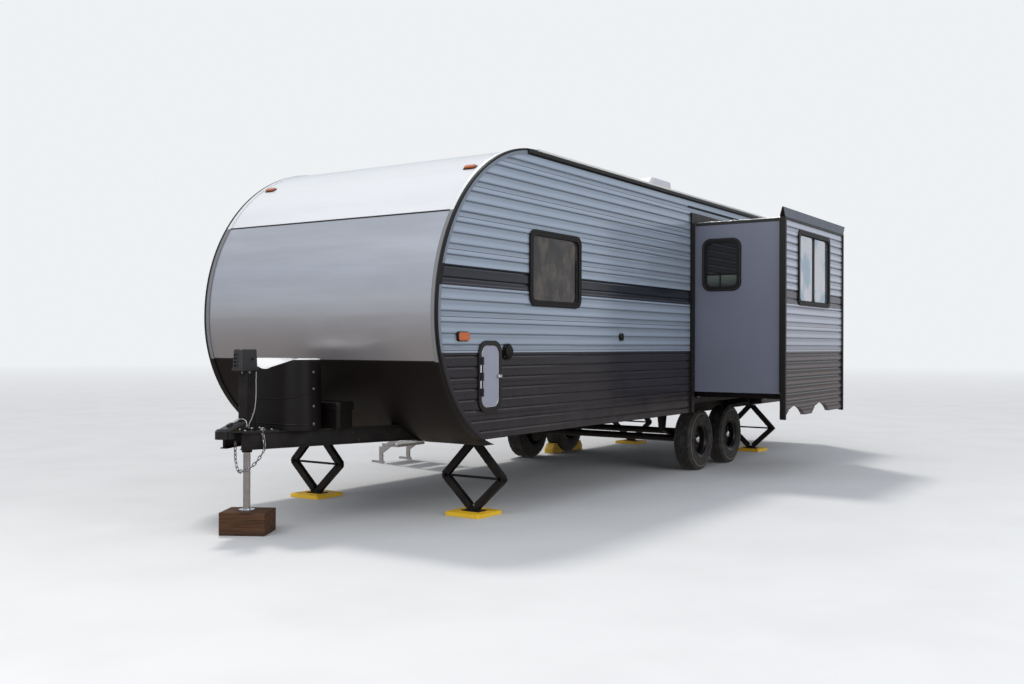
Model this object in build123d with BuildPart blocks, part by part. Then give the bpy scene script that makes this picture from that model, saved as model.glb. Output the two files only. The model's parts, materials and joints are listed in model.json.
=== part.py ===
from build123d import *
from math import asin, cos, degrees, radians, sin, sqrt
import os

os.makedirs("parts", exist_ok=True)

# Travel trailer, parked on its jacks with the room slide run out.
# +X points forward to the hitch, +Y is the road side, +Z is up, the ground is z = 0.
# Lengths along the body are set from the nose line: a place d behind it is NOSE - d.

# Body shell
BODY_LENGTH = 8610.0
HITCH_REACH, BUMPER_REACH = 958.0, 110.0
HALF_WIDTH = 1245.0
WALL = 45.0
SKIRT_Z = 660.0
ROOF_EDGE_Z = 2980.0
CROWN, EAVE_T = 75.0, 18.0
NOSE_BULGE = 35.0
NOSE = (BODY_LENGTH + BUMPER_REACH - HITCH_REACH) / 2
REAR = NOSE - BODY_LENGTH
INSIDE = HALF_WIDTH - WALL

# The rounded nose: a lower and an upper arc with a short upright between them
LOW_R, TOP_R, UPRIGHT = 1085.0, 1360.0, 20.0
LOW_X, TOP_X = NOSE + NOSE_BULGE - LOW_R, NOSE + NOSE_BULGE - TOP_R
TOP_Z = ROOF_EDGE_Z - TOP_R
LOW_Z = TOP_Z - UPRIGHT
PANEL_BOTTOM_Z = 600.0
DARK_LINE_Z = 1321.0
SEAM_LOW_Z, SEAM_TOP_Z = 1253.0, 2374.0

# Ribbed siding
RIB_PITCH = 82.5
RIB_FIRST_Z = 717.5
RIB_COUNT = 28
RIB_DEPTH = 8.0

# Floor and chassis
FLOOR_Z, FLOOR_T = 750.0, 60.0
RAIL_Y, RAIL_W, RAIL_BOTTOM, RAIL_TOP = HALF_WIDTH - 375, 60.0, 600.0, FLOOR_Z
TONGUE_BOTTOM, TONGUE_TOP, TONGUE_W = 620.0, 745.0, 52.0

# Wheels
AXLES = (NOSE - 4790.0, NOSE - 5660.0)
TYRE_R, TYRE_W, TYRE_Y = 335.0, 205.0, HALF_WIDTH - 143
RIM_R = 178.0
SPINDLE_R = 20.0
ARCH_R = 420.0

# Room slide, run out
SLIDE_FRONT, SLIDE_REAR = NOSE - 4466.0, NOSE - 6464.0
SLIDE_FLOOR_Z, SLIDE_TOP_Z = 883.0, 2705.0
SLIDE_MID = (SLIDE_FRONT + SLIDE_REAR) / 2
SLIDE_REACH = 1008.0
SLIDE_FACE_Y = HALF_WIDTH + SLIDE_REACH
SLIDE_INNER_Y, SLIDE_SHELL_Y = INSIDE - 25, SLIDE_FACE_Y - WALL
FACE_LAP = 30.0
FACE_BOTTOM_Z, FASCIA_Z, FASCIA_TOP_Z = 640.0, 2680.0, 2800.0
FASCIA_RAIL, FASCIA_FLARE = 26.0, 60.0
OPENING_GAP, TRIM_GAP, TRIM_SPAN = 25.0, 20.0, 100.0

# Doors and windows: centre x, width, centre z, height
SIDE_WINDOW = (NOSE - 1598.0, 832.0, 2015.0, 630.0)
REAR_WINDOW = (NOSE - 6150.0, 1000.0, 2015.0, 630.0)
STORAGE = (NOSE - 627.0, 306.0, 1137.0, 550.0)
ENTRY = (NOSE - 3490.0, 670.0, 1770.0, 1900.0)
SLIDE_WINDOW = (NOSE - 5414.0, 1110.0, 2213.0, 806.0)
SLIDE_SIDE_WINDOW = (HALF_WIDTH + 317, 436.0, 2240.0, 561.0)
FRAME_W = 35.0

# Tongue jack
JACK_X = NOSE + 680.0
BLOCK_Z = 165.0
PAD_Z = 30.0

# Side outline, drawn in local x = X and local y = Z
low_start = -degrees(asin((LOW_Z - SKIRT_Z) / LOW_R))
with BuildSketch() as side_outline:
    with BuildLine():
        low = CenterArc((LOW_X, LOW_Z), LOW_R, low_start, -low_start)
        up = Line(low @ 1, (LOW_X + LOW_R, TOP_Z))
        top = CenterArc((TOP_X, TOP_Z), TOP_R, 0, 90)
        Polyline(top @ 1, (REAR, ROOF_EDGE_Z), (REAR, SKIRT_Z), low @ 0)
    make_face()

# Band that follows the nose: the outline's front, inner_gap inside to outer_gap outside it
nose_start = -75.0


def nose_band(inner_gap, outer_gap):
    with BuildSketch() as band:
        for gap, mode in ((outer_gap, Mode.ADD), (-inner_gap, Mode.SUBTRACT)):
            with BuildLine():
                a = CenterArc((LOW_X, LOW_Z), LOW_R + gap, nose_start, -nose_start)
                b = Line(a @ 1, (LOW_X + LOW_R + gap, TOP_Z))
                c = CenterArc((TOP_X, TOP_Z), TOP_R + gap, 0, 90)
                Polyline(c @ 1, (TOP_X, LOW_Z), (LOW_X, LOW_Z), a @ 0)
            make_face(mode=mode)
    return band.sketch


# Cross-section of a ribbed wall in local x = Y and local y = Z, grooves on the outer face
def ribbed(outer_y, inner_y, low_z, high_z):
    side = 1 if outer_y > inner_y else -1
    points = [(inner_y, low_z), (outer_y, low_z)]
    for i in range(RIB_COUNT):
        z = RIB_FIRST_Z + i * RIB_PITCH
        if low_z + 16 < z < high_z - 8:
            points += [(outer_y, z - 14), (outer_y - side * RIB_DEPTH, z), (outer_y, z + 6)]
    points += [(outer_y, high_z), (inner_y, high_z)]
    with BuildSketch() as section:
        with BuildLine():
            Polyline(*points, close=True)
        make_face()
    return section.sketch


# Side walls above the dark line
window_tools = {
    1: [SIDE_WINDOW],
    -1: [SIDE_WINDOW, REAR_WINDOW],
}
for side, name in ((1, "left_wall"), (-1, "right_wall")):
    with BuildPart() as wall:
        with BuildSketch(Plane.YZ.offset(REAR)):
            add(ribbed(side * HALF_WIDTH, side * INSIDE, DARK_LINE_Z, ROOF_EDGE_Z))
        extrude(amount=BODY_LENGTH + NOSE_BULGE)
        with BuildSketch(Plane.XZ.offset(-HALF_WIDTH)):
            add(side_outline.sketch)
        extrude(amount=2 * HALF_WIDTH, mode=Mode.INTERSECT)
        with BuildSketch(Plane.XZ.offset(-side * HALF_WIDTH - WALL)):
            for x, w, z, h in window_tools[side]:
                with Locations((x, z)):
                    RectangleRounded(w - 2 * FRAME_W, h - 2 * FRAME_W, 55)
            if side == 1:
                with Locations((SLIDE_MID, (DARK_LINE_Z + SLIDE_TOP_Z + 10) / 2)):
                    Rectangle(SLIDE_FRONT - SLIDE_REAR + 2 * OPENING_GAP, SLIDE_TOP_Z + 10 - DARK_LINE_Z)
            if side == -1:
                with Locations((ENTRY[0], ENTRY[2])):
                    Rectangle(ENTRY[1], ENTRY[3])
            with Locations((STORAGE[0], STORAGE[2])):
                RectangleRounded(STORAGE[1] - 20, STORAGE[3] - 20, 90)
        extrude(amount=2 * WALL, mode=Mode.SUBTRACT)
    wall.part.label = name
    export_step(wall.part, f"parts/{name}.step")

# Lower siding in the dark colour: road side ahead of and behind the slide, kerb side with arches
with BuildPart() as lower_siding:
    for side in (1, -1):
        with BuildSketch(Plane.YZ.offset(REAR)):
            add(ribbed(side * HALF_WIDTH, side * INSIDE, SKIRT_Z, DARK_LINE_Z))
        extrude(amount=BODY_LENGTH + NOSE_BULGE)
    with BuildSketch(Plane.XZ.offset(-HALF_WIDTH)):
        add(side_outline.sketch)
    extrude(amount=2 * HALF_WIDTH, mode=Mode.INTERSECT)
    with BuildSketch(Plane.XZ.offset(-HALF_WIDTH - WALL)):
        with Locations((SLIDE_MID, (SKIRT_Z + DARK_LINE_Z) / 2)):
            Rectangle(SLIDE_FRONT - SLIDE_REAR + 2 * OPENING_GAP, DARK_LINE_Z - SKIRT_Z)
    extrude(amount=3 * WALL, mode=Mode.SUBTRACT)
    with BuildSketch(Plane.XZ.offset(HALF_WIDTH - 2 * WALL)):
        for x in AXLES:
            with Locations((x, TYRE_R)):
                Circle(ARCH_R)
        with Locations((ENTRY[0], ENTRY[2])):
            Rectangle(ENTRY[1], ENTRY[3])
    extrude(amount=3 * WALL, mode=Mode.SUBTRACT)
    with BuildSketch(Plane.XZ.offset(-HALF_WIDTH - WALL)):
        with Locations((STORAGE[0], STORAGE[2])):
            RectangleRounded(STORAGE[1] - 20, STORAGE[3] - 20, 90)
    extrude(amount=2 * HALF_WIDTH + 2 * WALL, mode=Mode.SUBTRACT)
    with BuildSketch(Plane.XZ.offset(-INSIDE + 1)):
        add(ribbed(REAR, REAR + WALL, FLOOR_Z, DARK_LINE_Z))
    extrude(amount=2 * INSIDE - 2)
lower_siding.part.label = "lower_siding"
export_step(lower_siding.part, "parts/lower_siding.step")

# Rear wall between the side walls
with BuildPart() as rear_wall:
    with BuildSketch(Plane.XZ.offset(-INSIDE)):
        add(ribbed(REAR, REAR + WALL, DARK_LINE_Z, ROOF_EDGE_Z - 50.0))
    extrude(amount=2 * INSIDE)
rear_wall.part.label = "rear_wall"
export_step(rear_wall.part, "parts/rear_wall.step")

# Nose panels, bent round the outline between the side walls
nose_panels = (
    ("front_panel_lower", PANEL_BOTTOM_Z, SEAM_LOW_Z),
    ("front_panel_mid", SEAM_LOW_Z, SEAM_TOP_Z),
    ("front_panel_upper", SEAM_TOP_Z, ROOF_EDGE_Z + 1),
)
# Tongue rails run from beside the main rails to the hitch; each is a channel in plan
TONGUE_BACK, TONGUE_TIP = (NOSE - 1250.0, 800.0), (NOSE + 815.0, 95.0)
tongue_lines = [[(TONGUE_BACK[0], s * TONGUE_BACK[1]), (TONGUE_TIP[0], s * TONGUE_TIP[1])] for s in (1, -1)]


def tongue_plan(width):
    with BuildSketch() as plan:
        for start, end in tongue_lines:
            dx, dy = end[0] - start[0], end[1] - start[1]
            size = sqrt(dx * dx + dy * dy)
            nx, ny = -dy / size * width / 2, dx / size * width / 2
            with BuildLine():
                Polyline(
                    (start[0] + nx, start[1] + ny), (end[0] + nx, end[1] + ny),
                    (end[0] - nx, end[1] - ny), (start[0] - nx, start[1] - ny), close=True,
                )
            make_face()
    return plan.sketch


for name, low_z, high_z in nose_panels:
    with BuildPart() as panel:
        with BuildSketch(Plane.XZ.offset(-INSIDE)):
            add(nose_band(WALL, 0))
            with Locations((NOSE - 650, (low_z + high_z) / 2)):
                Rectangle(1600, high_z - low_z, mode=Mode.INTERSECT)
        extrude(amount=2 * INSIDE)
        if low_z == PANEL_BOTTOM_Z:
            with BuildSketch(Plane.XY.offset(PANEL_BOTTOM_Z)):
                add(tongue_plan(TONGUE_W + 12))
            extrude(amount=TONGUE_TOP + 6 - PANEL_BOTTOM_Z, mode=Mode.SUBTRACT)
    panel.part.label = name
    export_step(panel.part, f"parts/{name}.step")

# Dark angle mouldings round the nose edges, and drip gutters from there back along both top edges
TRIM_BACK = NOSE - 1150.0
TRIM_LAP, TRIM_T = 38.0, 8.0
GUTTER_Z, GUTTER_H, GUTTER_OUT, GUTTER_LIP = ROOF_EDGE_Z - 50, 43.0, 20.0, 6.0
trim_box = ((TRIM_BACK + NOSE + 150) / 2, (SKIRT_Z + ROOF_EDGE_Z + 10) / 2)
trim_size = (NOSE + 150 - TRIM_BACK, ROOF_EDGE_Z + 10 - SKIRT_Z)
with BuildPart() as edge_trims:
    for side in (1, -1):
        with BuildSketch(Plane.XZ.offset(-HALF_WIDTH if side == 1 else HALF_WIDTH + TRIM_T)):
            add(nose_band(TRIM_LAP, TRIM_T))
            with Locations(trim_box):
                Rectangle(*trim_size, mode=Mode.INTERSECT)
        extrude(amount=-TRIM_T)
        with BuildSketch(Plane.XZ.offset(-HALF_WIDTH if side == 1 else INSIDE - 5)):
            add(nose_band(0, TRIM_T))
            with Locations(trim_box):
                Rectangle(*trim_size, mode=Mode.INTERSECT)
        extrude(amount=WALL + 5)
        with BuildSketch(Plane.YZ.offset(REAR)):
            with BuildLine():
                y, z, lip = HALF_WIDTH, GUTTER_Z, GUTTER_LIP
                Polyline(
                    (side * y, z), (side * (y + lip), z), (side * (y + GUTTER_OUT), z + 14),
                    (side * (y + GUTTER_OUT), z + GUTTER_H), (side * (y + GUTTER_OUT - lip), z + GUTTER_H),
                    (side * (y + GUTTER_OUT - lip - 2), z + 20), (side * (y + lip), z + 20),
                    (side * (y + lip), z + GUTTER_H), (side * y, z + GUTTER_H), close=True,
                )
            make_face()
        extrude(amount=TRIM_BACK - REAR - 1)
edge_trims.part.label = "edge_trims"
export_step(edge_trims.part, "parts/edge_trims.step")


# Roof: crowned, lapping over the wall tops, with the crown growing behind the nose
def roof_section(crown):
    with BuildSketch() as section:
        with BuildLine():
            Polyline(
                (HALF_WIDTH, ROOF_EDGE_Z), (INSIDE, ROOF_EDGE_Z), (INSIDE, ROOF_EDGE_Z - 50),
                (-INSIDE, ROOF_EDGE_Z - 50), (-INSIDE, ROOF_EDGE_Z), (-HALF_WIDTH, ROOF_EDGE_Z),
            )
            eave = ROOF_EDGE_Z + EAVE_T
            Line((-HALF_WIDTH, ROOF_EDGE_Z), (-HALF_WIDTH, eave))
            ThreePointArc((-HALF_WIDTH, eave), (0, eave + crown), (HALF_WIDTH, eave))
            Line((HALF_WIDTH, eave), (HALF_WIDTH, ROOF_EDGE_Z))
        make_face()
    return section.sketch


CROWN_FULL_X = NOSE - 2300.0
with BuildPart() as roof:
    with BuildSketch(Plane.YZ.offset(REAR)):
        add(roof_section(CROWN))
    extrude(amount=CROWN_FULL_X - REAR)
    with BuildSketch(Plane.YZ.offset(CROWN_FULL_X)):
        add(roof_section(CROWN))
    with BuildSketch(Plane.YZ.offset(TOP_X)):
        add(roof_section(2))
    loft(ruled=True)
roof.part.label = "roof"
export_step(roof.part, "parts/roof.step")

# Rooftop air conditioner: a shroud with a long sloped front on a gasket, with louvres at its rear
AC_X, AC_BOTTOM = NOSE - 5450.0, ROOF_EDGE_Z + EAVE_T + CROWN
AC_BASE, AC_TOP, AC_BACK, AC_HEIGHT = (900.0, 700.0), (500.0, 640.0), 181.0, 337.0
ROOF_CUT_Z = ROOF_EDGE_Z + 20
with BuildPart() as air_conditioner:
    with BuildSketch(Plane.XY.offset(AC_BOTTOM + 12)):
        with Locations((AC_X, 0)):
            RectangleRounded(*AC_BASE, 60)
    with BuildSketch(Plane.XY.offset(AC_BOTTOM + AC_HEIGHT)):
        with Locations((AC_X - AC_BACK, 0)):
            RectangleRounded(*AC_TOP, 60)
    loft()
    fillet(air_conditioner.faces().sort_by(Axis.Z)[-1].edges(), 25)
    with BuildSketch(Plane.YZ.offset(AC_X - AC_BASE[0] / 2)):
        with Locations((0, AC_BOTTOM + 130)):
            with GridLocations(0, 32, 1, 5):
                Rectangle(420, 16)
    extrude(amount=75, mode=Mode.SUBTRACT)
    with BuildSketch(Plane.XY.offset(ROOF_CUT_Z)):
        with Locations((AC_X, 0)):
            RectangleRounded(380, 380, 20)
    extrude(amount=AC_BOTTOM + 12 - ROOF_CUT_Z)
    with BuildSketch(Plane.YZ.offset(AC_X - 500)):
        add(roof_section(CROWN))
    extrude(amount=1000, mode=Mode.SUBTRACT)
air_conditioner.part.label = "air_conditioner"
export_step(air_conditioner.part, "parts/air_conditioner.step")

# Roof vents and plumbing stacks, seated on the crown
VENT, STACK_R = 400.0, 40.0
vent_spots = [(NOSE - 2600, 0.0), (REAR + 910, 0.0)]
stack_spots = [(NOSE - 3300, -0.57 * HALF_WIDTH), (REAR + 1610, 0.49 * HALF_WIDTH)]
with BuildPart() as roof_vents:
    with BuildSketch(Plane.XY.offset(ROOF_CUT_Z)):
        with Locations(*vent_spots):
            RectangleRounded(VENT, VENT, 30)
    extrude(amount=AC_BOTTOM + 55 - ROOF_CUT_Z)
    fillet(roof_vents.faces().filter_by(Axis.Z).group_by(Axis.Z)[-1].edges(), 12)
    with BuildSketch(Plane.XY.offset(ROOF_CUT_Z)):
        with Locations(*stack_spots):
            Circle(STACK_R)
    extrude(amount=120)
    for x, _ in vent_spots + stack_spots:
        with BuildSketch(Plane.YZ.offset(x - VENT)):
            add(roof_section(CROWN))
        extrude(amount=2 * VENT - 150, mode=Mode.SUBTRACT)
roof_vents.part.label = "roof_vents"
export_step(roof_vents.part, "parts/roof_vents.step")

# Window frames on the body: rings that line the wall cut and lap on to its face
with BuildPart() as window_frames:
    for side, rows in window_tools.items():
        for x, w, z, h in rows:
            with BuildSketch(Plane.XZ.offset(-side * HALF_WIDTH)):
                with Locations((x, z)):
                    RectangleRounded(w, h, 80)
                    RectangleRounded(w - 2 * FRAME_W - 24, h - 2 * FRAME_W - 24, 50, mode=Mode.SUBTRACT)
            extrude(amount=-side * 14)
            with BuildSketch(Plane.XZ.offset(-side * HALF_WIDTH)):
                with Locations((x, z)):
                    RectangleRounded(w - 2 * FRAME_W, h - 2 * FRAME_W, 55)
                    RectangleRounded(w - 2 * FRAME_W - 24, h - 2 * FRAME_W - 24, 50, mode=Mode.SUBTRACT)
            extrude(amount=side * WALL)
window_frames.part.label = "window_frames"
export_step(window_frames.part, "parts/window_frames.step")

with BuildPart() as window_glass:
    for side, rows in window_tools.items():
        for x, w, z, h in rows:
            with BuildSketch(Plane.XZ.offset(-side * (HALF_WIDTH - 8))):
                with Locations((x, z)):
                    RectangleRounded(w - 2 * FRAME_W - 24, h - 2 * FRAME_W - 24, 50)
            extrude(amount=side * 6)
window_glass.part.label = "window_glass"
export_step(window_glass.part, "parts/window_glass.step")

# Storage hatches, one on each side, hung on a knuckled hinge at the front edge
HATCH_W, HATCH_H, HATCH_GAP = STORAGE[1] - 76, STORAGE[3] - 76, 6.0
HATCH_OUT, RING_OUT = 8.0, 12.0
KNUCKLE_R, PIN_R, PIN_CLEAR = 5.5, 2.5, 0.05
HATCH_HINGE_X = STORAGE[0] + HATCH_W / 2 + HATCH_GAP / 2
HATCH_HINGE_Y = HALF_WIDTH + RING_OUT + KNUCKLE_R + 0.5
hatch_knuckles = (-120, 0, 120)
ring_knuckles = (-60, 60)
with BuildPart() as storage_frames:
    for side in (1, -1):
        for outer, radius, depth in (((STORAGE[1], STORAGE[3]), 100, -RING_OUT),
                                     ((STORAGE[1] - 20, STORAGE[3] - 20), 90, WALL)):
            with BuildSketch(Plane.XZ.offset(-side * HALF_WIDTH)):
                with Locations((STORAGE[0], STORAGE[2])):
                    RectangleRounded(*outer, radius)
                    RectangleRounded(HATCH_W + 2 * HATCH_GAP, HATCH_H + 2 * HATCH_GAP, 76, mode=Mode.SUBTRACT)
            extrude(amount=side * depth)
        for dz in ring_knuckles:
            with BuildSketch(Plane.XY.offset(STORAGE[2] + dz - 29)):
                with Locations((HATCH_HINGE_X, side * HATCH_HINGE_Y)):
                    Circle(KNUCKLE_R)
                with Locations((HATCH_HINGE_X + 11, side * (HALF_WIDTH + RING_OUT + 2))):
                    Rectangle(22, 4)
            extrude(amount=58)
        with BuildSketch(Plane.XY.offset(STORAGE[2] - 150)):
            with Locations((HATCH_HINGE_X, side * HATCH_HINGE_Y)):
                Circle(PIN_R)
        extrude(amount=300)
storage_frames.part.label = "storage_frames"
export_step(storage_frames.part, "parts/storage_frames.step")

for side, name in ((1, "storage_door_left"), (-1, "storage_door_right")):
    with BuildPart() as hatch:
        with BuildSketch(Plane.XZ.offset(-side * (HALF_WIDTH + HATCH_OUT))):
            with Locations((STORAGE[0], STORAGE[2])):
                RectangleRounded(HATCH_W, HATCH_H, 70)
        extrude(amount=side * WALL)
        for dz in hatch_knuckles:
            with BuildSketch(Plane.XY.offset(STORAGE[2] + dz - 30)):
                with Locations((HATCH_HINGE_X - 13, side * (HALF_WIDTH + HATCH_OUT + 4))):
                    Rectangle(24, 8)
                with Locations((HATCH_HINGE_X, side * HATCH_HINGE_Y)):
                    Circle(KNUCKLE_R)
                    Circle(PIN_R + PIN_CLEAR, mode=Mode.SUBTRACT)
            extrude(amount=60)
        with BuildSketch(Plane.XZ.offset(-side * (HALF_WIDTH + RING_OUT + 5))):
            with Locations((STORAGE[0] - HATCH_W / 2 + 2, STORAGE[2])):
                SlotOverall(58, 24)
        extrude(amount=-side * 7)
        with BuildSketch(Plane.XZ.offset(-side * (HALF_WIDTH + RING_OUT + 5))):
            with Locations((STORAGE[0] - HATCH_W / 2 + 16, STORAGE[2])):
                Circle(11)
        extrude(amount=side * 12)
    hatch.part.label = name
    export_step(hatch.part, f"parts/{name}.step")

# Frame round the room slide's opening: both sides and the head
with BuildPart() as opening_trim:
    with BuildSketch(Plane.XZ.offset(-HALF_WIDTH)):
        with Locations((SLIDE_MID, (SKIRT_Z + SLIDE_TOP_Z + TRIM_SPAN) / 2)):
            Rectangle(SLIDE_FRONT - SLIDE_REAR + 2 * TRIM_SPAN, SLIDE_TOP_Z + TRIM_SPAN - SKIRT_Z)
        with Locations((SLIDE_MID, (SLIDE_TOP_Z + 10) / 2)):
            Rectangle(SLIDE_FRONT - SLIDE_REAR + 2 * TRIM_GAP, SLIDE_TOP_Z + 10, mode=Mode.SUBTRACT)
    extrude(amount=-20)
opening_trim.part.label = "opening_trim"
export_step(opening_trim.part, "parts/opening_trim.step")

# Entry door in its frame, kerb side, on three pin hinges at the front edge
DOOR_GAP, DOOR_LINER, DOOR_LIP, DOOR_OUT = 8.0, 10.0, 10.0, 4.0
LEAF_W, LEAF_H = ENTRY[1] - 2 * DOOR_LINER - 2 * DOOR_GAP, ENTRY[3] - 2 * DOOR_LINER - 2 * DOOR_GAP
DOOR_WINDOW_Z, DOOR_WINDOW_W, DOOR_WINDOW_H = 2230.0, 320.0, 520.0
DOOR_KNUCKLE_R, DOOR_PIN_R = 7.5, 4.0
DOOR_HINGE_X = ENTRY[0] + LEAF_W / 2 + DOOR_GAP / 2
DOOR_HINGE_Y = -HALF_WIDTH - DOOR_LIP - DOOR_KNUCKLE_R - 0.5
door_hinge_z = (1000.0, ENTRY[2], 2540.0)
with BuildPart() as entry_frame:
    with BuildSketch(Plane.XZ.offset(HALF_WIDTH)):
        with Locations((ENTRY[0], ENTRY[2])):
            RectangleRounded(ENTRY[1] + 50, ENTRY[3] + 50, 40)
            Rectangle(ENTRY[1] - 2 * DOOR_LINER, ENTRY[3] - 2 * DOOR_LINER, mode=Mode.SUBTRACT)
    extrude(amount=DOOR_LIP)
    with BuildSketch(Plane.XZ.offset(HALF_WIDTH)):
        with Locations((ENTRY[0], ENTRY[2])):
            Rectangle(ENTRY[1], ENTRY[3])
            Rectangle(ENTRY[1] - 2 * DOOR_LINER, ENTRY[3] - 2 * DOOR_LINER, mode=Mode.SUBTRACT)
    extrude(amount=-WALL)
    for z in door_hinge_z:
        for z0 in (z - 61, z + 31):
            with BuildSketch(Plane.XY.offset(z0)):
                with Locations((DOOR_HINGE_X, DOOR_HINGE_Y)):
                    Circle(DOOR_KNUCKLE_R)
                with Locations((DOOR_HINGE_X + 16, -HALF_WIDTH - DOOR_LIP - 3)):
                    Rectangle(32, 6)
            extrude(amount=30)
        with BuildSketch(Plane.XY.offset(z - 60)):
            with Locations((DOOR_HINGE_X, DOOR_HINGE_Y)):
                Circle(DOOR_PIN_R)
        extrude(amount=120)
entry_frame.part.label = "entry_frame"
export_step(entry_frame.part, "parts/entry_frame.step")

with BuildPart() as entry_door:
    with BuildSketch(Plane.XZ.offset(HALF_WIDTH - WALL)):
        with Locations((ENTRY[0], ENTRY[2])):
            Rectangle(LEAF_W, LEAF_H)
        with Locations((ENTRY[0], DOOR_WINDOW_Z)):
            RectangleRounded(DOOR_WINDOW_W, DOOR_WINDOW_H, 50, mode=Mode.SUBTRACT)
    extrude(amount=WALL + DOOR_OUT)
    with BuildSketch(Plane.XZ.offset(HALF_WIDTH + DOOR_OUT)):
        with Locations((ENTRY[0] - LEAF_W / 2 + 60, 1640)):
            RectangleRounded(70, 130, 12)
    extrude(amount=14)
    for z in door_hinge_z:
        with BuildSketch(Plane.XY.offset(z - 30)):
            with Locations((DOOR_HINGE_X - 17, -HALF_WIDTH - DOOR_OUT - 5)):
                Rectangle(32, 10)
            with Locations((DOOR_HINGE_X, DOOR_HINGE_Y)):
                Circle(DOOR_KNUCKLE_R)
                Circle(DOOR_PIN_R + PIN_CLEAR, mode=Mode.SUBTRACT)
        extrude(amount=60)
entry_door.part.label = "entry_door"
export_step(entry_door.part, "parts/entry_door.step")

with BuildPart() as entry_glass:
    with BuildSketch(Plane.XZ.offset(HALF_WIDTH - 6)):
        with Locations((ENTRY[0], DOOR_WINDOW_Z)):
            RectangleRounded(DOOR_WINDOW_W, DOOR_WINDOW_H, 50)
    extrude(amount=6)
entry_glass.part.label = "entry_glass"
export_step(entry_glass.part, "parts/entry_glass.step")

# Grab handle beside the entry
HANDLE_Z, HANDLE_H, HANDLE_OUT = 1150.0, 750.0, 50.0
with BuildPart() as grab_handle:
    x = ENTRY[0] - ENTRY[1] / 2 - 110
    with BuildSketch(Plane.XZ.offset(HALF_WIDTH)):
        with Locations((x, HANDLE_Z), (x, HANDLE_Z + HANDLE_H)):
            RectangleRounded(50, 70, 10)
    extrude(amount=HANDLE_OUT)
    with BuildSketch(Plane.XY.offset(HANDLE_Z)):
        with Locations((x, -HALF_WIDTH - HANDLE_OUT - 14)):
            Circle(16)
    extrude(amount=HANDLE_H)
grab_handle.part.label = "grab_handle"
export_step(grab_handle.part, "parts/grab_handle.step")

# Awning rolled up against the kerb side, on its two folded arms
AWNING_FRONT, AWNING_REAR = NOSE - 2500.0, REAR + 1610.0
ROLL_R, ROLL_Z, ARM_BOTTOM = 48.0, ROOF_EDGE_Z - 145, 1550.0
with BuildPart() as awning:
    with BuildSketch(Plane.YZ.offset(AWNING_REAR)):
        with Locations((-HALF_WIDTH - 75, ROLL_Z)):
            Circle(ROLL_R)
    extrude(amount=AWNING_FRONT - AWNING_REAR)
    for x in (AWNING_FRONT - 40, AWNING_REAR):
        with BuildSketch(Plane.XY.offset(ARM_BOTTOM)):
            with Locations((x + 20, -HALF_WIDTH - 27.5)):
                Rectangle(40, 55)
        extrude(amount=ROLL_Z + 35 - ARM_BOTTOM)
awning.part.label = "awning"
export_step(awning.part, "parts/awning.step")

# Lamps and side fittings
NOSE_LAMP_ANGLE, NOSE_LAMP_Y = 56.0, HALF_WIDTH - 145
SIDE_LAMP, INLET, SIDE_BOX = (NOSE - 272, 1441), (NOSE - 861, 1325), (NOSE - 2779, 1456)
with BuildPart() as amber_lamps:
    for side in (1, -1):
        with BuildSketch(Plane.XZ.offset(-side * HALF_WIDTH)):
            with Locations(SIDE_LAMP):
                RectangleRounded(130, 60, 14)
        extrude(amount=-side * 24)
        lamp_plane = Plane(
            origin=(
                TOP_X + TOP_R * cos(radians(NOSE_LAMP_ANGLE)), side * NOSE_LAMP_Y,
                TOP_Z + TOP_R * sin(radians(NOSE_LAMP_ANGLE)),
            ),
            x_dir=(0, 1, 0),
            z_dir=(cos(radians(NOSE_LAMP_ANGLE)), 0, sin(radians(NOSE_LAMP_ANGLE))),
        )
        with BuildSketch(lamp_plane):
            RectangleRounded(100, 34, 12)
        extrude(amount=18)
amber_lamps.part.label = "amber_lamps"
export_step(amber_lamps.part, "parts/amber_lamps.step")

with BuildPart() as tail_lamps:
    with BuildSketch(Plane.YZ.offset(REAR)):
        with Locations((HALF_WIDTH - 220, 1020), (220 - HALF_WIDTH, 1020)):
            RectangleRounded(210, 75, 15)
    extrude(amount=-30)
tail_lamps.part.label = "tail_lamps"
export_step(tail_lamps.part, "parts/tail_lamps.step")

with BuildPart() as side_fittings:
    with BuildSketch(Plane.XZ.offset(-HALF_WIDTH)):
        with Locations(INLET):
            Circle(65)
        with Locations(SIDE_BOX):
            RectangleRounded(70, 70, 20)
    extrude(amount=-16)
    with BuildSketch(Plane.XZ.offset(-HALF_WIDTH - 16)):
        with Locations(INLET):
            Circle(48)
    extrude(amount=-14)
side_fittings.part.label = "side_fittings"
export_step(side_fittings.part, "parts/side_fittings.step")

# Floor
FLOOR_FRONT = LOW_X + sqrt((LOW_R - WALL) ** 2 - (LOW_Z - FLOOR_Z) ** 2) - 6
with BuildPart() as floor:
    with BuildSketch(Plane.XY.offset(FLOOR_Z)):
        with Locations(((FLOOR_FRONT + REAR + WALL) / 2, 0)):
            Rectangle(FLOOR_FRONT - REAR - WALL, 2 * INSIDE)
    extrude(amount=FLOOR_T)
floor.part.label = "floor"
export_step(floor.part, "parts/floor.step")

# Chassis: two I-beam rails
RAIL_FRONT = FLOOR_FRONT - 333.0
WEB, FLANGE = 8.0, 10.0
with BuildPart() as main_rails:
    for side in (1, -1):
        with BuildSketch(Plane.YZ.offset(REAR)):
            with Locations((side * RAIL_Y, (RAIL_BOTTOM + RAIL_TOP) / 2)):
                Rectangle(WEB, RAIL_TOP - RAIL_BOTTOM)
            for z in (RAIL_BOTTOM + FLANGE / 2, RAIL_TOP - FLANGE / 2):
                with Locations((side * RAIL_Y, z)):
                    Rectangle(RAIL_W, FLANGE)
        extrude(amount=RAIL_FRONT - REAR)
main_rails.part.label = "main_rails"
export_step(main_rails.part, "parts/main_rails.step")

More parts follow.
